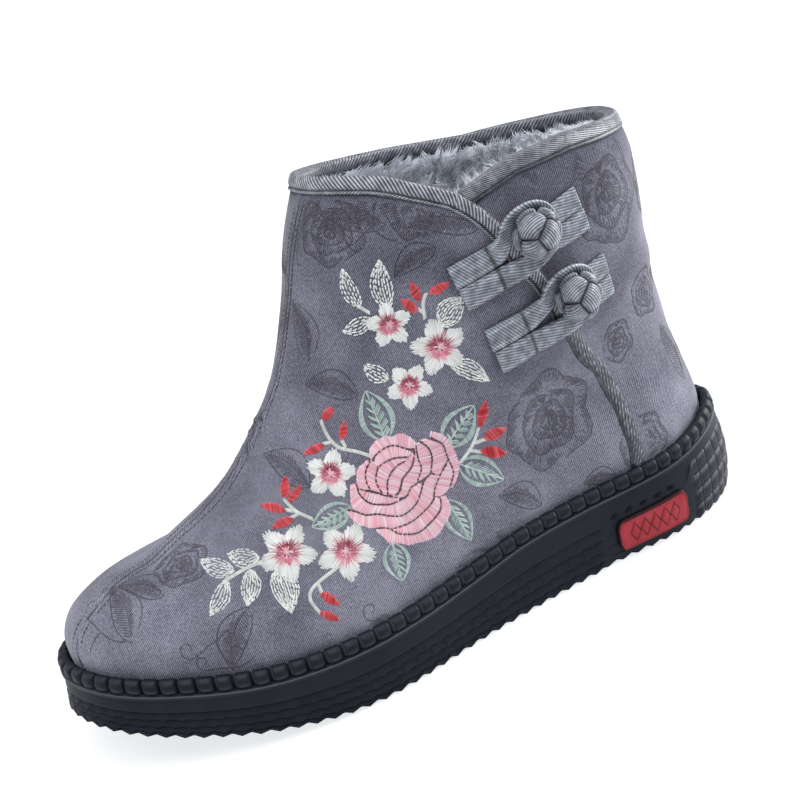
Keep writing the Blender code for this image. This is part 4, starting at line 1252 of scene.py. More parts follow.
# STITCH_SIDE_SHADE: painted shade, the two sides of each stitch darker than its crest
STITCH_END, STITCH_POWER, STITCH_SIDE_SHADE = 0.55, 4, (0.62, 1.0, 0.62)
ROSE_PETALS = [
    # inner edge and outer edge of each petal
    ([(371.9, 460.1), (375.1, 455.7), (378.3, 452.5), (381.5, 450.1), (387.8, 446.4), (395.0, 445.3),
      (400.6, 446.9), (406.2, 448.9), (414.9, 448.9)],
     [(370.7, 460.1), (369.1, 452.1), (373.5, 443.3), (384.6, 436.2), (391.0, 437.0), (399.0, 433.8),
      (408.6, 436.2), (416.5, 443.3)]),
    ([(379.1, 466.5), (381.5, 464.1), (385.4, 462.1), (391.0, 458.9), (397.4, 457.5), (402.2, 457.3),
      (407.8, 456.9)],
     [(374.3, 463.3), (375.9, 456.1), (380.7, 450.5), (387.8, 446.7), (395.0, 445.9), (403.0, 448.1),
      (411.0, 451.7)]),
    ([(387.8, 495.2), (387.7, 489.6), (387.0, 484.0), (389.4, 476.0), (392.6, 470.4), (395.8, 466.9),
      (399.8, 463.7), (405.4, 460.9)],
     [(383.0, 494.0), (378.3, 488.0), (375.1, 480.8), (377.5, 472.0), (379.1, 466.5), (385.4, 462.1),
      (394.2, 459.3), (407.0, 457.5)]),
    ([(397.4, 495.2), (399.4, 490.4), (401.4, 484.0), (401.8, 480.0), (404.6, 476.0), (408.6, 471.2),
      (411.7, 466.5), (414.1, 456.9)],
     [(388.2, 495.2), (387.7, 488.8), (387.8, 482.4), (390.2, 476.0), (395.0, 469.6), (399.8, 464.9),
      (406.2, 460.9), (411.7, 452.1)]),
    ([(401.4, 485.6), (401.8, 480.8), (404.6, 476.0), (408.6, 471.2), (411.7, 466.5), (414.1, 456.9),
      (414.5, 449.7)],
     [(411.0, 486.4), (416.5, 482.4), (418.9, 476.0), (421.3, 468.0), (418.5, 460.9), (416.9, 455.3),
      (415.3, 448.9)]),
    ([(388.6, 495.6), (394.2, 495.6), (398.6, 494.0), (400.6, 488.8), (402.2, 485.6)],
     [(391.0, 496.7), (399.0, 497.1), (404.6, 496.3), (407.8, 493.6), (410.6, 487.2)]),
    ([(369.9, 488.8), (366.7, 483.2), (365.5, 476.8), (365.9, 469.6), (368.7, 464.1)],
     [(359.1, 488.8), (356.9, 483.2), (356.7, 476.8), (357.9, 468.8), (367.5, 459.7)]),
    ([(382.3, 492.8), (378.3, 487.2), (375.5, 480.0), (376.7, 472.8), (378.3, 465.7)],
     [(370.3, 489.2), (366.9, 483.2), (365.9, 476.8), (366.3, 469.6), (371.9, 461.3)]),
    ([(360.3, 489.2), (366.3, 490.8), (373.5, 492.4), (379.9, 494.0), (385.4, 495.6), (391.8, 496.7),
      (399.0, 497.1)],
     [(359.1, 492.8), (363.1, 497.9), (367.9, 501.5), (374.3, 503.8), (381.5, 503.5), (389.4, 504.1),
      (398.2, 501.1)]),
    ([(356.3, 484.0), (359.1, 493.6), (364.7, 499.9), (371.9, 503.9), (381.5, 504.7), (391.0, 504.3),
      (399.0, 500.7), (407.0, 496.7), (409.4, 491.2), (411.7, 486.4), (418.9, 483.6)],
     [(350.4, 485.6), (350.4, 495.2), (352.8, 507.9), (363.1, 513.9), (375.1, 513.3), (387.8, 515.2),
      (400.6, 515.5), (409.4, 510.3), (416.5, 502.3), (419.7, 495.2), (422.1, 484.0)]),
    ([(347.6, 510.3), (355.9, 511.5), (366.3, 515.1), (377.5, 513.9), (389.4, 515.9), (401.4, 515.9),
      (410.2, 510.7), (417.3, 502.7), (420.9, 492.8), (424.5, 480.0), (430.1, 474.8)],
     [(347.6, 514.3), (356.7, 523.1), (366.3, 526.6), (374.3, 527.8), (383.0, 527.0), (391.8, 528.2),
      (400.6, 525.6), (409.4, 522.4), (417.3, 516.7), (426.1, 508.7), (431.7, 500.7), (434.5, 488.8),
      (439.6, 476.0)]),
    ([(394.2, 528.6), (402.2, 525.8), (410.2, 522.4), (418.1, 516.7), (426.1, 509.1), (431.7, 503.1),
      (435.3, 496.7)],
     [(392.6, 530.2), (400.6, 533.8), (408.6, 533.6), (415.7, 532.2), (422.9, 527.8), (430.1, 520.7),
      (435.7, 514.3), (439.6, 507.9), (439.6, 499.1)]),
    ([(377.5, 528.6), (384.6, 527.8), (391.8, 529.4), (397.4, 533.4), (407.0, 534.2), (415.7, 533.4),
      (423.7, 528.6), (430.1, 522.3), (435.7, 515.9), (440.4, 507.9)],
     [(376.3, 531.0), (384.6, 538.2), (391.0, 543.8), (399.0, 543.0), (407.8, 544.6), (417.3, 542.6),
      (427.7, 539.8), (436.5, 535.0), (443.6, 524.6), (449.2, 512.7)]),
    ([(437.3, 514.3), (440.3, 508.7), (440.6, 503.1), (440.3, 497.1)],
     [(446.0, 520.7), (449.6, 511.9), (449.1, 503.9), (445.6, 496.0)]),
    ([(417.7, 480.8), (419.7, 474.4), (421.5, 468.0), (418.5, 460.9), (416.5, 451.3), (415.3, 444.1)],
     [(421.3, 480.0), (430.1, 472.0), (430.9, 462.5), (429.7, 453.7), (426.1, 447.3), (418.5, 442.1)]),
    ([(434.9, 474.4), (430.9, 472.8), (431.3, 465.7), (432.1, 458.5), (430.1, 451.3), (426.1, 445.7),
      (418.9, 440.1)],
     [(440.4, 474.0), (441.6, 470.4), (443.6, 464.9), (446.4, 459.3), (444.4, 451.3), (441.2, 444.1),
      (424.5, 438.6)]),
    ([(450.4, 486.0), (453.6, 472.8), (448.8, 460.9), (445.4, 452.1), (442.4, 444.1), (435.7, 440.1),
      (429.7, 437.0)],
     [(452.4, 488.0), (458.4, 474.4), (458.8, 463.3), (454.8, 452.9), (450.8, 443.3), (442.8, 434.6),
      (430.9, 431.0)]),
    ([(434.1, 495.6), (434.9, 488.8), (437.3, 482.4), (439.6, 476.0), (442.8, 469.6), (447.2, 462.5)],
     [(440.8, 496.0), (446.0, 491.6), (450.4, 486.4), (453.2, 476.8), (453.0, 469.6), (448.8, 461.7)]),
]
BLOSSOMS = [
    # centre, radius, direction of the first petal
    (389, 325, 22, -30), (439, 347, 27, -35), (409, 386, 22, -60), (331, 474, 24, -82), (287, 553, 28, -65),
    (346, 551, 28, -65),
]
PALE_LEAVES = [
    # base, tip, width
    (360, 308, 342, 269, 15), (388, 309, 379, 260, 21), (370, 319, 343, 332, 16), (441, 326, 462, 297, 25),
    (450, 363, 488, 380, 18), (388, 379, 364, 365, 16), (234, 572, 200, 559, 19), (259, 559, 227, 553, 19),
    (227, 581, 210, 615, 16), (251, 570, 247, 605, 19), (276, 569, 291, 612, 26),
]
TEAL_LEAVES = [
    # base, tip, width
    (386, 441, 366, 391, 36), (445, 447, 473, 405, 33), (459, 464, 503, 479, 32), (446, 500, 471, 540, 28),
    (392, 543, 402, 581, 28), (351, 507, 312, 527, 27),
]
BUDS = [
    # base, tip, width
    (420, 300, 410, 283, 10), (430, 294, 448, 282, 10), (417, 311, 401, 300, 11), (481, 426, 484, 401, 11),
    (485, 439, 505, 428, 12), (481, 452, 505, 452, 13), (324, 420, 333, 407, 10), (342, 440, 344, 422, 9),
    (323, 444, 304, 455, 9), (286, 498, 285, 477, 10), (290, 502, 301, 486, 9), (285, 510, 262, 506, 10),
    (292, 518, 273, 528, 10), (321, 594, 339, 604, 10), (320, 613, 339, 619, 9),
]
STEMS = [
    [(321, 420), (324, 430), (330, 440), (340, 448), (358, 452), (370, 456)],
    [(341, 439), (346, 448)],
    [(323, 444), (331, 442)],
    [(460, 463), (471, 447), (479, 427)],
    [(474, 443), (485, 439)],
    [(468, 450), (481, 452)],
    [(284, 499), (291, 507), (299, 513), (313, 519)],
    [(286, 510), (298, 512)],
    [(291, 518), (300, 513)],
    [(338, 567), (320, 581), (311, 591), (311, 601), (320, 613)],
    [(318, 583), (322, 593)],
    [(262, 562), (244, 570), (224, 582)],
    [(425, 319), (423, 304), (426, 293)],
    [(418, 309), (424, 313)],
    [(358, 306), (370, 313)],
]
ROSE_PINK, ROSE_LIGHT = (0.94, 0.46, 0.57), (1.0, 0.84, 0.89)
ROSE_LINE, ROSE_SHADOW = (0.050, 0.012, 0.020), (0.14, 0.03, 0.05)
WHITE, SILVER = (0.94, 0.95, 0.94), (0.84, 0.86, 0.85)
CRIMSON, PINK, BLUSH = (0.29, 0.022, 0.058), (0.74, 0.27, 0.36), (0.96, 0.74, 0.78)
PALE_GREEN, TEAL, MINT = (0.66, 0.71, 0.67), (0.34, 0.46, 0.44), (0.56, 0.67, 0.64)
RED, SCARLET = (0.58, 0.026, 0.046), (1.0, 0.20, 0.23)
SEAM_DARK, SEAM_GREY = (0.018, 0.018, 0.026), (0.040, 0.039, 0.052)
chance = np.random.default_rng(SEED)


class Stitches:
    """Thread stitches collected for one piece; each is a short closed ridge on the cloth."""

    def __init__(self):
        self.points, self.faces, self.colours, self.weaves = [], [], [], []
        self.count = 0
        self.waiting = {}

    def sew(self, starts, ends, colours, kind):
        """Straight stitches between photo pixels, laid together with others of the same kind."""
        self.waiting.setdefault(kind, []).append((starts, ends, colours))

    def add(self, u, v, colours, width, height, arch, lift):
        """Stitches along rows of u and v, one colour each; arch 0 keeps the height up to the ends."""
        rows, steps = u.shape
        line = cloth_point(u, v, lift)
        normal = upper_normal(u, v)
        side = unit(np.cross(normal, np.gradient(line, axis=1)))
        rise = 1 - arch * np.abs(np.linspace(-1, 1, steps)) ** STITCH_POWER
        half = side * (width / 2) * (STITCH_END + (1 - STITCH_END) * rise)[None, :, None]
        top = line + normal * (height * rise)[None, :, None]
        ring = np.stack([line - half, top, line + half], 2)
        self.points.append(ring.reshape(-1, 3))
        start = self.count + np.arange(rows)[:, None] * steps * 3
        for k in range(steps - 1):
            for i, j in ((0, 1), (1, 2), (2, 0)):
                quad = np.array([k * 3 + i, k * 3 + j, k * 3 + 3 + j, k * 3 + 3 + i])
                self.faces += (start + quad).tolist()
        self.faces += (start + np.array([2, 1, 0])).tolist()
        self.faces += (start + (steps - 1) * 3 + np.array([0, 1, 2])).tolist()
        tint = np.repeat(np.asarray(colours, float), steps * 3, axis=0)
        # Painted shade: each stitch's two side edges are darker than its crest
        self.colours.append(tint * np.tile(STITCH_SIDE_SHADE, rows * steps)[:, None])
        self.weaves.append(np.repeat(weave_at(u, v).reshape(-1, 3), 3, axis=0))
        self.count += rows * steps * 3

    def build(self, name, looks=THREAD):
        for kind, rows in self.waiting.items():
            steps, *form = THREADS[kind]
            starts, ends, colours = (np.concatenate(column) for column in zip(*rows))
            t = np.linspace(0, 1, steps)[None, :, None]
            u, v = on_upper(starts[:, None] + (ends - starts)[:, None] * t)
            self.add(u, v, colours, *form)
        values = {"thread": np.vstack(self.colours)}
        if looks == FIGURE:
            values["weave"] = np.vstack(self.weaves)
        piece(name, np.vstack(self.points), self.faces, looks, "cloth", soft=False, **values)


def tints(colour, other, count, spread=0.14, blend=None):
    """Thread colours between two, a little lighter or darker each."""
    blend = chance.random((count, 1)) if blend is None else blend
    shade = 1 + spread * (2 * chance.random((count, 1)) - 1)
    return np.clip((np.array(colour) * blend + np.array(other) * (1 - blend)) * shade, 0, 1)


CURVE_FINE = 60
ROSE_PITCH, ROSE_JITTER, ROSE_INNER, ROSE_OUTER, ROSE_SPREAD = 0.95, 0.5, 0.05, 0.06, 0.16
MARK_PITCH, MARK_LEAST, MARK_SHARE, MARK_DRIFT = 4.2, 3, 0.55, 0.35


def stitch_rose():
    satin, lines = Stitches(), Stitches()
    for inner, outer in ROSE_PETALS:
        count = int(extent(open_curve(outer, CURVE_FINE)) / ROSE_PITCH)
        low, high = open_curve(inner, count), open_curve(outer, count)
        jitter = ROSE_JITTER * (chance.random((count, 1)) - 0.5)
        reach = high - low
        starts = low + reach * ROSE_INNER + jitter
        ends = high + reach * ROSE_OUTER * chance.random((count, 1)) + jitter
        satin.sew(starts, ends, tints(ROSE_LIGHT, ROSE_PINK, count, ROSE_SPREAD), "rose")
        marks = max(int(extent(open_curve(inner, CURVE_FINE)) / MARK_PITCH), MARK_LEAST)
        line = open_curve(inner, marks)
        part = MARK_SHARE + MARK_DRIFT * chance.random((marks - 1, 1))
        ends = line[:-1] + part * np.diff(line, axis=0)
        lines.sew(line[:-1], ends, tints(ROSE_LINE, ROSE_SHADOW, marks - 1), "rose_line")
    satin.build("rose_satin")
    lines.build("rose_lines")


def ray(centre, angle, reach):
    """Pixels at distances along directions from a flower's centre."""
    return np.array(centre) + np.stack([np.cos(angle), np.sin(angle)], -1) * np.reshape(reach, (-1, 1))


PETALS, PETAL_THREADS, HEART_THREADS, CENTRE_THREADS = 5, 22, 60, 30
PETAL_LONG, PETAL_ROUND, PETAL_POWER, PETAL_LEAST, PETAL_DRIFT = 1.10, 0.46, 1.4, 0.92, 0.12
PETAL_ROOT, ROOT_SPREAD, TIP_SPREAD = 0.22, 0.52, 0.60
HEART_TURN, HEART_DEEP, HEART_LIT, HEART_MOTTLE = 0.06, 0.40, 0.5, 0.6
HEART_ROOT, HEART_LEAST, HEART_DRIFT = 0.16, 0.46, 0.24
CENTRE_LEAST, CENTRE_DRIFT = 0.10, 0.18
PETAL_TONE, HEART_TONE, CENTRE_TONE = 0.10, 0.2, 0.1


def stitch_blossoms():
    petals, hearts = Stitches(), Stitches()
    side = np.linspace(-1, 1, PETAL_THREADS)
    whole = PETAL_LONG - PETAL_ROUND * np.abs(side) ** PETAL_POWER
    for x, y, radius, first in BLOSSOMS:
        centre = (x, y)
        for petal in range(PETALS):
            middle = radians(first) + 2 * pi * petal / PETALS
            reach = radius * whole * (PETAL_LEAST + PETAL_DRIFT * chance.random(PETAL_THREADS))
            starts = ray(centre, middle + ROOT_SPREAD * side, radius * PETAL_ROOT)
            ends = ray(centre, middle + TIP_SPREAD * side, reach)
            petals.sew(starts, ends, tints(WHITE, SILVER, PETAL_THREADS, PETAL_TONE), "petal")
        angle = np.linspace(0, 2 * pi, HEART_THREADS, endpoint=False)
        angle = angle + HEART_TURN * chance.random(HEART_THREADS)
        deep = HEART_DEEP - HEART_LIT * np.sin(angle) + HEART_MOTTLE * (chance.random(HEART_THREADS) - 0.5)
        reach = radius * (HEART_LEAST + HEART_DRIFT * chance.random(HEART_THREADS))
        colours = tints(CRIMSON, PINK, HEART_THREADS, HEART_TONE, np.clip(deep, 0, 1)[:, None])
        hearts.sew(ray(centre, angle, radius * HEART_ROOT), ray(centre, angle, reach), colours, "heart")
        angle = 2 * pi * chance.random(CENTRE_THREADS)
        reach = radius * (CENTRE_LEAST + CENTRE_DRIFT * chance.random(CENTRE_THREADS))
        colours = tints(BLUSH, PINK, CENTRE_THREADS, CENTRE_TONE)
        hearts.sew(ray(centre, angle, 0.0), ray(centre, angle, reach), colours, "centre")
    petals.build("blossom_petals")
    hearts.build("blossom_hearts")


LEAF_POINTS, LEAF_FULL, LEAF_BLUNT = 24, 0.85, 0.8


def leaf_lines(base, tip, width, rows, bow=0.0, blunt=LEAF_BLUNT):
    """Lengthwise pixel lines of a leaf, from base to tip."""
    base, tip = np.array(base, float), np.array(tip, float)
    run = tip - base
    side = np.array([-run[1], run[0]]) / np.linalg.norm(run)
    t = np.linspace(0, 1, LEAF_POINTS)
    body = np.sin(pi * t ** LEAF_FULL) ** blunt * width / 2
    arc = bow * np.linalg.norm(run) * np.sin(pi * t)
    return [base + run * t[:, None] + side * (w * body + arc)[:, None] for w in np.linspace(-1, 1, rows)]


PALE_BOW, PALE_TONE = -0.06, 0.12
DASH_PITCH, DASH_LENGTH, DASH_ROW, DASH_LAST, DASH_JITTER = 5.6, 5.0, 2.35, 0.3, 1.2
DASH_SLANT, SLANT_FROM = 1.8, 0.3


def stitch_pale_leaves():
    """Leaves of short lengthwise dashes in staggered rows."""
    leaves = Stitches()
    for x0, y0, x1, y1, width in PALE_LEAVES:
        for k, line in enumerate(leaf_lines((x0, y0), (x1, y1), width, int(width / DASH_ROW), PALE_BOW)):
            length = along(line)
            begin = np.arange(-0.5 * (k % 2), length[-1] / DASH_PITCH - DASH_LAST) * DASH_PITCH
            begin = begin + DASH_JITTER * (chance.random(len(begin)) - 0.5)
            starts, ends = (sampled(spots, length, line) for spots in (begin, begin + DASH_LENGTH))
            slant = DASH_SLANT * (chance.random((len(begin), 2)) - SLANT_FROM)
            leaves.sew(starts, ends + slant, tints(PALE_GREEN, WHITE, len(begin), PALE_TONE), "dash")
    leaves.build("pale_leaves")


TEAL_LINES, TEAL_MIDDLE, TEAL_VEINED, BORDER_PITCH, BORDER_OUTSIDE = 9, 4, (2, 6), 1.15, 0.4
MIDRIB_STITCHES, VEIN_SPOTS, VEIN_REACH, VEIN_THREADS = 8, 8, 0.9, (0.0, 1.3, 2.6)


def stitch_teal_leaves():
    leaves = Stitches()
    for x0, y0, x1, y1, width in TEAL_LEAVES:
        lines = leaf_lines((x0, y0), (x1, y1), width, TEAL_LINES)
        for border, within in ((lines[0], lines[2]), (lines[-1], lines[-3])):
            within = BORDER_OUTSIDE * border + (1 - BORDER_OUTSIDE) * within
            count = int(extent(border) / BORDER_PITCH)
            starts, ends = even(border, count + 1)[:-1], even(within, count + 1)[1:]
            leaves.sew(starts, ends, tints(TEAL, MINT, count), "border")
        middle = even(lines[TEAL_MIDDLE], MIDRIB_STITCHES + 1)
        leaves.sew(middle[:-1], middle[1:], tints(TEAL, MINT, MIDRIB_STITCHES), "midrib")
        for veined in TEAL_VEINED:
            roots = even(lines[TEAL_MIDDLE], VEIN_SPOTS)[1:-2]
            reach = (even(lines[veined], VEIN_SPOTS)[2:-1] - roots) * VEIN_REACH
            for shift in VEIN_THREADS:
                leaves.sew(roots + shift, roots + reach + shift, tints(TEAL, MINT, len(roots)), "vein")
    leaves.build("teal_leaves")


BUD_BLUNT, BUD_PITCH, BUD_SLANT, BUD_TONE = 0.65, 0.95, 0.06, 0.18


def stitch_buds():
    buds = Stitches()
    for x0, y0, x1, y1, width in BUDS:
        low, middle, high = leaf_lines((x0, y0), (x1, y1), width, 3, blunt=BUD_BLUNT)
        count = int(extent(middle) / BUD_PITCH)
        slant = (middle[-1] - middle[0]) * BUD_SLANT
        colours = tints(RED, SCARLET, count, BUD_TONE)
        buds.sew(even(low, count) - slant, even(high, count) + slant, colours, "bud")
    buds.build("buds")


STEM_PITCH, STEM_LEAST, STEM_HALF, STEM_OVER, STEM_TONE = 1.5, 3, 1.7, 0.4, 0.1


def stitch_stems():
    stems = Stitches()
    for path in STEMS:
        count = max(int(extent(np.array(path, float)) / STEM_PITCH), STEM_LEAST)
        line = open_curve(path, count + 1)
        run = np.diff(line, axis=0)
        side = STEM_HALF * unit(np.stack([-run[:, 1], run[:, 0]], -1)) + STEM_OVER * run
        stems.sew(line[:-1] - side, line[1:] + side, tints(PALE_GREEN, SILVER, count, STEM_TONE), "stem")
    stems.build("stems")


SEAM_SPAN, SEAM_FIRST, SEAM_REST, SEAM_POINTS = (0.015, 0.978, 400), 0.5, 3.0, 3
SEAM_HEIGHT, SEAM_ARCH = 0.22, 0.6
SEAM_ROWS = [
    # side, share of the pitch that a stitch takes up, width, lift
    (-1, 0.72, 0.52, 0.14), (0, 1.0, 0.36, 0.45), (1, 0.72, 0.52, 0.14),
]


def stitch_seams():
    """Topstitching on both sides of the front seam, and the seam's own dark line."""
    stitches = Stitches()
    v = np.linspace(*SEAM_SPAN)
    for side, share, width, lift in SEAM_ROWS:
        u = straight(SEAM_LINE, v)
        u = u + side * SEAM_STITCH / np.linalg.norm(upper_slopes(u, v)[0], axis=-1)
        length = along(upper_point(u, v))
        starts = np.arange(SEAM_FIRST, length[-1] - SEAM_REST, SEAM_PITCH)
        spots = starts[:, None] + np.linspace(0, share * SEAM_PITCH, SEAM_POINTS)
        colours = tints(SEAM_DARK, SEAM_GREY, len(starts))
        stitches.add(np.interp(spots, length, u), np.interp(spots, length, v), colours, width, SEAM_HEIGHT,
                     SEAM_ARCH, lift)
    stitches.build("seam_stitches")


# Jacquard: dark roses, leaves and tendrils woven into the cloth
SEEN_FIGURES = [
    # kind, photo x, photo y, size, turn
    ("rose", 608, 192, 19, 10), ("rose", 549, 420, 18.5, 40), ("rose", 645, 291, 9, 70),
    ("rose", 645, 440, 11, 20), ("leaf", 318, 208, 22, -35), ("leaf", 350, 222, 24, 15),
    ("leaf", 385, 205, 20, 60), ("leaf", 445, 225, 24, 20), ("rose", 330, 232, 12, 30),
    ("rose", 415, 208, 11, 60), ("leaf", 360, 200, 22, 80), ("leaf", 415, 262, 17, -20),
    ("leaf", 520, 500, 20, 35), ("leaf", 478, 560, 20, 10), ("leaf", 450, 590, 18, -30),
    ("leaf", 505, 545, 16, 70), ("rose", 617, 341, 7.5, 20), ("leaf", 118, 612, 24, 60),
    ("leaf", 140, 590, 20, 20), ("rose", 181, 564, 10, 30), ("leaf", 240, 640, 22, -60),
    ("leaf", 285, 470, 22, 40), ("leaf", 300, 330, 22, 70), ("leaf", 330, 390, 20, 20),
    ("leaf", 520, 170, 18, 50), ("leaf", 390, 625, 18, 30), ("leaf", 600, 480, 14, 10),
    ("tendril", 300, 270, 26, 60), ("tendril", 360, 255, 26, 40), ("tendril", 400, 240, 22, 10),
    ("tendril", 130, 640, 26, -10), ("tendril", 235, 610, 26, -70), ("tendril", 255, 655, 22, -40),
    ("tendril", 420, 610, 26, -20), ("tendril", 575, 350, 22, 80), ("leaf", 671, 352, 26, 76),
    ("tendril", 560, 160, 18, 60), ("tendril", 245, 430, 26, 50), ("tendril", 540, 540, 20, 20),
]
HIDDEN_FIGURES = [
    # kind, u, v, size, turn
    ("rose", 0.58, 0.80, 18, 20), ("rose", 0.62, 0.38, 20, 60), ("rose", 0.72, 0.66, 18, 0),
    ("rose", 0.83, 0.82, 18, 45), ("rose", 0.80, 0.34, 20, 15), ("rose", 0.93, 0.58, 18, 75),
    ("rose", 0.985, 0.26, 16, 30), ("rose", 0.02, 0.80, 16, 10), ("leaf", 0.56, 0.60, 22, 30),
    ("leaf", 0.60, 0.58, 20, 75), ("leaf", 0.66, 0.84, 22, 10), ("leaf", 0.68, 0.47, 22, -30),
    ("leaf", 0.60, 0.27, 22, 55), ("leaf", 0.56, 0.12, 20, 15), ("leaf", 0.65, 0.16, 22, -20),
    ("leaf", 0.72, 0.24, 20, 60), ("leaf", 0.75, 0.86, 20, -40), ("leaf", 0.77, 0.52, 22, 35),
    ("leaf", 0.86, 0.50, 22, -15), ("leaf", 0.88, 0.22, 20, 50), ("leaf", 0.91, 0.82, 20, 70),
    ("leaf", 0.97, 0.74, 18, 20), ("leaf", 0.94, 0.36, 18, -50), ("leaf", 0.03, 0.46, 18, 40),
    ("leaf", 0.53, 0.90, 20, -10), ("tendril", 0.60, 0.70, 26, 20), ("tendril", 0.66, 0.60, 26, 80),
    ("tendril", 0.69, 0.32, 26, 40), ("tendril", 0.78, 0.74, 26, -20), ("tendril", 0.74, 0.42, 26, 110),
    ("tendril", 0.85, 0.66, 24, 60), ("tendril", 0.86, 0.36, 26, 0), ("tendril", 0.96, 0.46, 24, 100),
    ("tendril", 0.99, 0.64, 22, 50),
]
FIGURE_LIFT, FIGURE_HEIGHT, FIGURE_ARCH, LINE_WIDTH, HATCH_WIDTH = 0.02, 0.07, 0.6, 0.52, 0.48
FIGURE_LOW, FIGURE_MARGIN, FLAP_CLEAR, FLAP_SIDE, FIGURE_WIDEST = 0.01, 7.5, 0.004, 0.4, 0.3
LINE_POINTS, HATCH_POINTS, HATCH_PITCH = 9, 3, 0.85
ROSE_RINGS = [
    # radius as a share of the size, petals, turn of the first petal
    (0.20, 2, 0.3), (0.40, 3, 1.1), (0.66, 4, 0.2), (0.96, 5, 0.7),
]
ROSE_LAP, ROSE_TURN, ROSE_LEAST, ROSE_DRIFT = 1.12, 0.25, 0.94, 0.12
EDGE_TOP, EDGE_FALL, EDGE_WAVE, EDGE_WAVES = 1.04, 0.16, 0.05, 5
ROSE_HATCH, ROSE_HATCH_END, HATCH_LEAST, HATCH_LEAN = 0.32, 0.9, 0.2, 0.35
LEAF_HALF, LEAF_BOW, LEAF_LEAN, LEAF_POWER = 0.24, 0.12, 0.8, 0.9
LEAF_HATCH_SPAN, LEAF_HATCH_LEAST, LEAF_HATCH_LEAN, LEAF_HATCH_ROOT = (0.08, 0.92), 0.6, 0.7, 0.1
LEAF_SIDES = [
    # side, share of the half that its hatches fill
    (-1, 0.95), (1, 0.55),
]


def rose_strokes(size):
    """Petal lines of a rose in its own plane, and the short strokes that shade them."""
    lines, hatches = [], []
    for ring, petals, begin in ROSE_RINGS:
        half = ROSE_LAP * pi / petals
        for k in range(petals):
            middle = begin + 2 * pi * k / petals + ROSE_TURN * (chance.random() - 0.5)
            whole = size * ring * (ROSE_LEAST + ROSE_DRIFT * chance.random())

            def edge(t):
                radius = whole * (EDGE_TOP - EDGE_FALL * t ** 2 + EDGE_WAVE * np.sin(EDGE_WAVES * t + k))
                turn = middle + half * t
                return np.stack([radius * np.cos(turn), radius * np.sin(turn)], -1)

            lines.append(edge(np.linspace(-1, 1, LINE_POINTS)))
            spots = np.arange(-ROSE_HATCH_END, ROSE_HATCH_END, HATCH_PITCH / (size * ring * half))
            depth = HATCH_LEAST + (1 - HATCH_LEAST) * chance.random(len(spots))
            depth = size * ROSE_HATCH * depth * (1 - np.abs(spots) ** 3)
            root = edge(spots)
            reach = unit(HATCH_LEAN - unit(root)) * depth[:, None]
            steps = np.linspace(0, 1, HATCH_POINTS)[None, :, None]
            hatches += list(root[:, None] + reach[:, None] * steps)
    return lines, hatches


def leaf_strokes(size):
    """Outline, midrib and shading strokes of a leaf in its own plane."""
    def spine(t):
        return np.stack([size * (t - 0.5), LEAF_BOW * size * np.sin(pi * t)], -1)

    def body(t):
        return LEAF_HALF * size * np.sin(pi * t ** LEAF_LEAN) ** LEAF_POWER

    t = np.linspace(0, 1, LINE_POINTS)
    lines = [spine(t) + np.stack([0 * t, side * body(t)], -1) for side in (-1.0, 0.0, 1.0)]
    hatches = []
    spots = np.arange(*LEAF_HATCH_SPAN, HATCH_PITCH / size)
    steps = np.linspace(LEAF_HATCH_ROOT, 1, HATCH_POINTS)[None, :, None]
    for side, share in LEAF_SIDES:
        drift = LEAF_HATCH_LEAST + (1 - LEAF_HATCH_LEAST) * chance.random(len(spots))
        rise = body(spots) * share * drift
        reach = np.stack([LEAF_HATCH_LEAN * rise, side * rise], -1)
        hatches += list(spine(spots)[:, None] + reach[:, None] * steps)
    return lines, hatches


TENDRIL_POINTS, TENDRIL_LONG, BRANCH_FROM = 25, 1.3, 8
SWAY, SWAYS, CURL, CURL_FROM, CURL_POWER = 0.9, 4, 22.0, 0.55, 1.5
BRANCH_REACH, BRANCH_DROP, BRANCH_STRETCH, BRANCH_POWER = 0.28, 0.20, 3, 1.6


def tendril_strokes(size):
    """A stem that curls up at one end, with a short branch."""
    t = np.linspace(0, 1, TENDRIL_POINTS)
    heading = SWAY * np.sin(SWAYS * t) + CURL * np.maximum(t - CURL_FROM, 0) ** CURL_POWER
    steps = np.stack([np.cos(heading), np.sin(heading)], -1)
    path = np.cumsum(steps, axis=0) * size * TENDRIL_LONG / TENDRIL_POINTS
    out = BRANCH_STRETCH * t[:LINE_POINTS]
    branch = np.stack([BRANCH_REACH * size * out, -BRANCH_DROP * size * out ** BRANCH_POWER], -1)
    lines = [path[start:start + LINE_POINTS] for start in range(0, TENDRIL_POINTS - 1, LINE_POINTS - 1)]
    return lines + [path[BRANCH_FROM] + branch], []


FIGURE_STROKES = {"rose": rose_strokes, "leaf": leaf_strokes, "tendril": tendril_strokes}


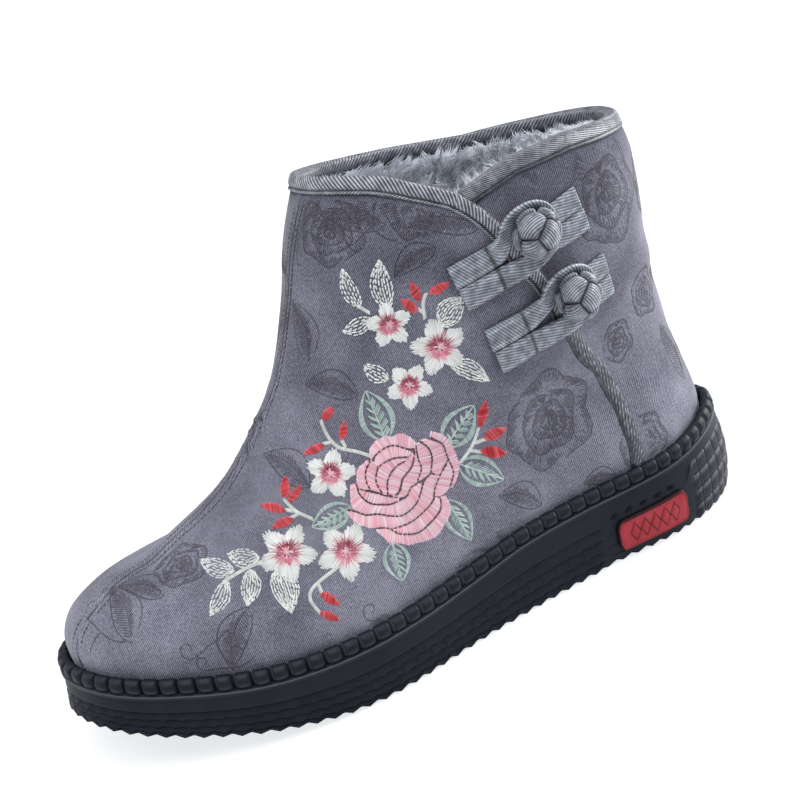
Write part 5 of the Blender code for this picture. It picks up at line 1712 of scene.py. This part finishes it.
def weave_figures():
    woven = Stitches()
    seen_u, seen_v = on_upper(np.array([row[1:3] for row in SEEN_FIGURES], float))
    placed = [(row[0], u, v, row[3], row[4]) for row, u, v in zip(SEEN_FIGURES, seen_u, seen_v)]
    drawn = {LINE_WIDTH: [], HATCH_WIDTH: []}
    for kind, at_u, at_v, size, turn in placed + HIDDEN_FIGURES:
        patch = Patch(at_u, at_v, turn)
        for strokes, width in zip(FIGURE_STROKES[kind](size), drawn):
            if strokes:
                flat = np.stack(strokes)
                drawn[width].append(np.stack(patch.place(flat[..., 0], flat[..., 1]), -1))
    for width, strokes in drawn.items():
        u, v = np.moveaxis(np.concatenate(strokes), -1, 0)
        u = np.mod(u, 1.0)
        inside = (v > FIGURE_LOW) & (v < collar_top(u, FIGURE_MARGIN))
        clear = (np.abs(u - flap_u(v)) > FLAP_CLEAR) | (u > FLAP_SIDE)
        keep = (inside & clear).all(axis=1) & (np.ptp(u, axis=1) < FIGURE_WIDEST)
        colours = np.ones((keep.sum(), 3))
        woven.add(u[keep], v[keep], colours, width, FIGURE_HEIGHT, FIGURE_ARCH, FIGURE_LIFT)
    woven.build("jacquard", FIGURE)


# Plush lining and insole
HAIR_WIDTH, HAIR_THIN, TUFT_SPREAD, TIP_SPREAD_SHARE = 0.38, 0.8, 1.0, 0.45
HAIR_LEAST, HAIR_DRIFT, HAIR_BEND, TIP_STRAY, MIDDLE_STRAY = 0.75, 0.45, 0.16, 0.5, 0.25
HAIR_ACROSS = (0.31, 0.52, 0.79)
TUFT_DARK, TUFT_DRIFT, TONE_DARK, TONE_DRIFT = 0.72, 0.45, 0.85, 0.3
# Brightness along each hair, from root ring to middle ring to tip: painted shade at the roots and a painted
# highlight at the tips
HAIR_PAINTED_LIGHT = (0.6, 0.6, 0.6, 1.0, 1.0, 1.0, 1.3)
PLUSH_TONE = (0.88, 0.92, 1.0)
FUR_PIECES, FUR_TUFTS, TUFT_HAIRS, FUR_DEEP = 3, 1200, 10, 0.60
FUR_TOP, FUR_FAR_TOP, FAR_FROM, FAR_TO = 4.6, 2.2, (0.48, 0.54), (0.98, 1.0)
FUR_OUT, EDGE_OUT, EDGE_DEEP = 0.3, 1.3, 0.03
FUR_SWAY, FUR_SWAYS_U, FUR_SWAYS_V, FUR_SWAY_STRAY = 0.35, 17, 3, 0.35
FUR_LIFT, FUR_LIFT_DRIFT, FUR_LIFT_STRAY, FUR_LENGTH, FUR_LENGTH_DRIFT = 0.45, 0.5, 0.25, 4.5, 4.5
# Painted light on the fur: tufts high on the near side are darkened, tufts towards the heel lightened
FUR_LIGHT, NEAR_PAINTED_SHADE, NEAR_SIDE, NEAR_DEEP = 0.76, 0.3, (-8.0, 6.0), (0.0, 0.2)
BACK_PAINTED_LIGHT, BACK_SPAN = 0.14, (20.0, 60.0)
SOLE_TUFTS, SOLE_HAIRS, SOLE_INSET, SOLE_RISE = 750, 6, 11.5, 4.0
SOLE_LEAN, SOLE_LENGTH, SOLE_CENTRE = 0.5, 3.2, 0.7
INSOLE_AROUND, INSOLE_SPINE = 240, 90.0
QUILT_RISE, QUILT_X, QUILT_Y = 0.12, 0.9, 1.1
INSOLE_ROWS = [
    # rise over the sole's rim, inset, share of the way to the middle
    (0.3, 9.3, 0.0), (1.8, 9.15, 0.0), (3.0, 9.3, 0.0), (3.6, 9.8, 0.0), (3.8, 10.8, 0.0), (3.9, 10.8, 0.25),
    (4.0, 10.8, 0.5), (4.1, 10.8, 0.75), (4.1, 10.8, 0.95),
]


def build_hairs(name, roots, across, upward, lean, hairs, light=1.0):
    """Tufts of fine tapered hairs; every tuft leans its own way and its hairs gather towards the tip."""
    tufts = len(roots)
    shape, spots = (tufts, hairs, 1), (tufts, hairs, 3)
    spread = chance.normal(0, TUFT_SPREAD, shape) * across[:, None]
    spread = spread + chance.normal(0, TUFT_SPREAD, shape) * upward[:, None]
    base = roots[:, None] + spread
    reach = HAIR_LEAST + HAIR_DRIFT * chance.random(shape)
    tip = roots[:, None] + lean[:, None] * reach + TIP_SPREAD_SHARE * spread
    tip = tip + chance.normal(0, TIP_STRAY, spots)
    bend = np.linalg.norm(lean, axis=-1)[:, None, None] * HAIR_BEND * np.cross(across, upward)[:, None]
    middle = 0.5 * (base + tip) + bend + chance.normal(0, MIDDLE_STRAY, spots)
    axis = unit(tip - base)
    first = unit(np.cross(axis, HAIR_ACROSS))
    second = np.cross(axis, first)
    rings = []
    for centre, width in ((base, HAIR_WIDTH), (middle, HAIR_WIDTH * HAIR_THIN)):
        for turn in (0, 2 * pi / 3, 4 * pi / 3):
            rings.append(centre + (first * cos(turn) + second * sin(turn)) * width / 2)
    points = np.stack(rings + [tip], 2).reshape(-1, 3)
    start = np.arange(tufts * hairs)[:, None] * len(HAIR_PAINTED_LIGHT)
    faces = (start + np.array([2, 1, 0])).tolist()
    for i, j in ((0, 1), (1, 2), (2, 0)):
        faces += (start + np.array([i, j, j + 3, i + 3])).tolist()
        faces += (start + np.array([i + 3, j + 3, 6])).tolist()
    tone = light * (TUFT_DARK + TUFT_DRIFT * chance.random((tufts, 1)))
    tone = tone * (TONE_DARK + TONE_DRIFT * chance.random((tufts, hairs)))
    # Painted shade and highlight along each hair: dark roots, light tips
    colour = tone[..., None, None] * np.array(HAIR_PAINTED_LIGHT)[:, None] * np.array(PLUSH_TONE)
    piece(name, points, faces, PILE, "plush", thread=np.clip(colour, 0, 1), soft=False, outward=False)


def build_fur():
    for k in range(FUR_PIECES):
        u = (k + chance.random(FUR_TUFTS)) / FUR_PIECES
        below = chance.random(FUR_TUFTS) ** 2
        far = smooth(*FAR_FROM, u) * (1 - smooth(*FAR_TO, u))
        v = collar_top(u, FUR_TOP + FUR_FAR_TOP * far) - FUR_DEEP * below
        across, upward = (unit(slope) for slope in upper_slopes(u, v))
        inward = -upper_normal(u, v)
        roots = upper_point(u, v) + inward * (WALL + FUR_OUT + EDGE_OUT * (below < EDGE_DEEP))[:, None]
        sway = FUR_SWAY * np.sin(2 * pi * (FUR_SWAYS_U * u + FUR_SWAYS_V * v))
        sway = sway + chance.normal(0, FUR_SWAY_STRAY, FUR_TUFTS)
        lift = FUR_LIFT + FUR_LIFT_DRIFT * chance.random(FUR_TUFTS)
        lift = lift + chance.normal(0, FUR_LIFT_STRAY, FUR_TUFTS)
        lean = unit(inward + upward * lift[:, None] + across * sway[:, None])
        length = FUR_LENGTH + FUR_LENGTH_DRIFT * chance.random((FUR_TUFTS, 1))
        # Painted shade and light: tufts high on the near side are darker, tufts towards the heel lighter
        near = (1 - smooth(*NEAR_SIDE, roots[:, 1])) * (1 - smooth(*NEAR_DEEP, below))
        light = FUR_LIGHT - NEAR_PAINTED_SHADE * near[:, None] + BACK_PAINTED_LIGHT * smooth(*BACK_SPAN, roots[:, :1])
        build_hairs(f"fur_{k + 1}", roots, across, upward, lean * length, TUFT_HAIRS, light)


def build_insole():
    u = np.arange(INSOLE_AROUND) / INSOLE_AROUND
    rows = []
    for rise, inset, share in INSOLE_ROWS:
        flat = toward_spine(outline(u, np.full(INSOLE_AROUND, inset)), INSOLE_SPINE, share)
        quilt = QUILT_RISE * np.sin(flat[:, 0] * QUILT_X) * np.sin(flat[:, 1] * QUILT_Y)
        rows.append(lifted(flat, lip_height(u) + RIM_ROWS[0][2] + rise + quilt))
    faces = loft_faces(len(rows), INSOLE_AROUND)
    pad = piece("plush_insole", np.stack(rows), faces, PLUSH, "plush", ["insole"])
    u, share = chance.random(SOLE_TUFTS), chance.random(SOLE_TUFTS) ** SOLE_CENTRE
    flat = toward_spine(outline(u, np.full(SOLE_TUFTS, SOLE_INSET)), INSOLE_SPINE, 1 - share[:, None])
    roots = lifted(flat, lip_height(u) + RIM_ROWS[0][2] + SOLE_RISE)
    lean_x, lean_y = chance.normal(0, SOLE_LEAN, SOLE_TUFTS), chance.normal(0, SOLE_LEAN, SOLE_TUFTS)
    lean = unit(np.stack([lean_x, lean_y, np.ones(SOLE_TUFTS)], -1)) * SOLE_LENGTH
    across, upward = (np.tile(axis, (SOLE_TUFTS, 1)) for axis in ([1.0, 0, 0], [0, 1.0, 0]))
    build_hairs("insole_pile", roots, across, upward, lean, SOLE_HAIRS)


# Stage
SKY, SKY_STRENGTH = (0.96, 0.98, 1.0, 1.0), 0.45
FLOOR_HALF, FLOOR_GLOW, GLOW_STRENGTH = 30.0, (0.97, 0.985, 1.0, 1.0), 0.78
FLOOR_DARK, FLOOR_LIGHT, FLOOR_SCALE = (0.25, 0.255, 0.26), (0.27, 0.275, 0.28), 0.01
LIGHT_TARGET, CLIP_START = (0, 0, 0.08), 0.01
LIGHTS = [
    # name, kind, place, size or angle, power
    ("sky", "SUN", (-0.15, -0.35, 1.3), 60, 2.6),
    ("rim_left", "AREA", (-0.9, 0.7, 0.7), 0.6, 3.0),
    ("rim_right", "AREA", (1.0, 0.05, 0.36), 0.6, 11.2),
]


def build_floor(scene):
    mesh = bpy.data.meshes.new("floor")
    corners = [(FLOOR_HALF * x, FLOOR_HALF * y, 0) for x, y in ((-1, -1), (1, -1), (1, 1), (-1, 1))]
    mesh.from_pydata(corners, [], [(0, 1, 2, 3)])
    looks = Looks("pale_floor", Roughness=0.6, Emission_Color=FLOOR_GLOW, Emission_Strength=GLOW_STRENGTH)
    cloud = looks.noise(looks.place(), FLOOR_SCALE)
    looks.colour(looks.ramp(cloud, (0.0, FLOOR_DARK), (1.0, FLOOR_LIGHT)))
    mesh.materials.append(looks.made)
    floor = bpy.data.objects.new("floor", mesh)
    scene.collection.objects.link(floor)


def build_stage():
    scene = bpy.context.scene
    scene.view_settings.view_transform = "Standard"
    world = bpy.data.worlds.new("studio")
    world.use_nodes = True
    world.node_tree.nodes["Background"].inputs["Color"].default_value = SKY
    world.node_tree.nodes["Background"].inputs["Strength"].default_value = SKY_STRENGTH
    scene.world = world
    build_floor(scene)
    for name, kind, place, size, power in LIGHTS:
        lamp = bpy.data.lights.new(name, kind)
        if kind == "SUN":
            lamp.angle = radians(size)
        else:
            lamp.shape = "DISK"
            lamp.size = size
        lamp.energy = power
        made = bpy.data.objects.new(name, lamp)
        made.location = place
        made.rotation_euler = (Vector(LIGHT_TARGET) - Vector(place)).to_track_quat("-Z", "Y").to_euler()
        scene.collection.objects.link(made)
    camera = bpy.data.cameras.new("camera")
    camera.sensor_width = SENSOR
    camera.lens = VIEW_FOCAL / FRAME * SENSOR
    camera.clip_start = CLIP_START
    made = bpy.data.objects.new("camera", camera)
    axes = np.column_stack([RIGHT, UP, BACK, (EYE + SHIFT) * MM])
    made.matrix_world = Matrix(axes.tolist() + [[0, 0, 0, 1]])
    scene.collection.objects.link(made)
    scene.camera = made


build_stage()
build_upper()
build_lining()
build_tapes()
build_sole()
build_badge()
build_frogs()
stitch_rose()
stitch_blossoms()
stitch_pale_leaves()
stitch_teal_leaves()
stitch_buds()
stitch_stems()
stitch_seams()
weave_figures()
build_fur()
build_insole()
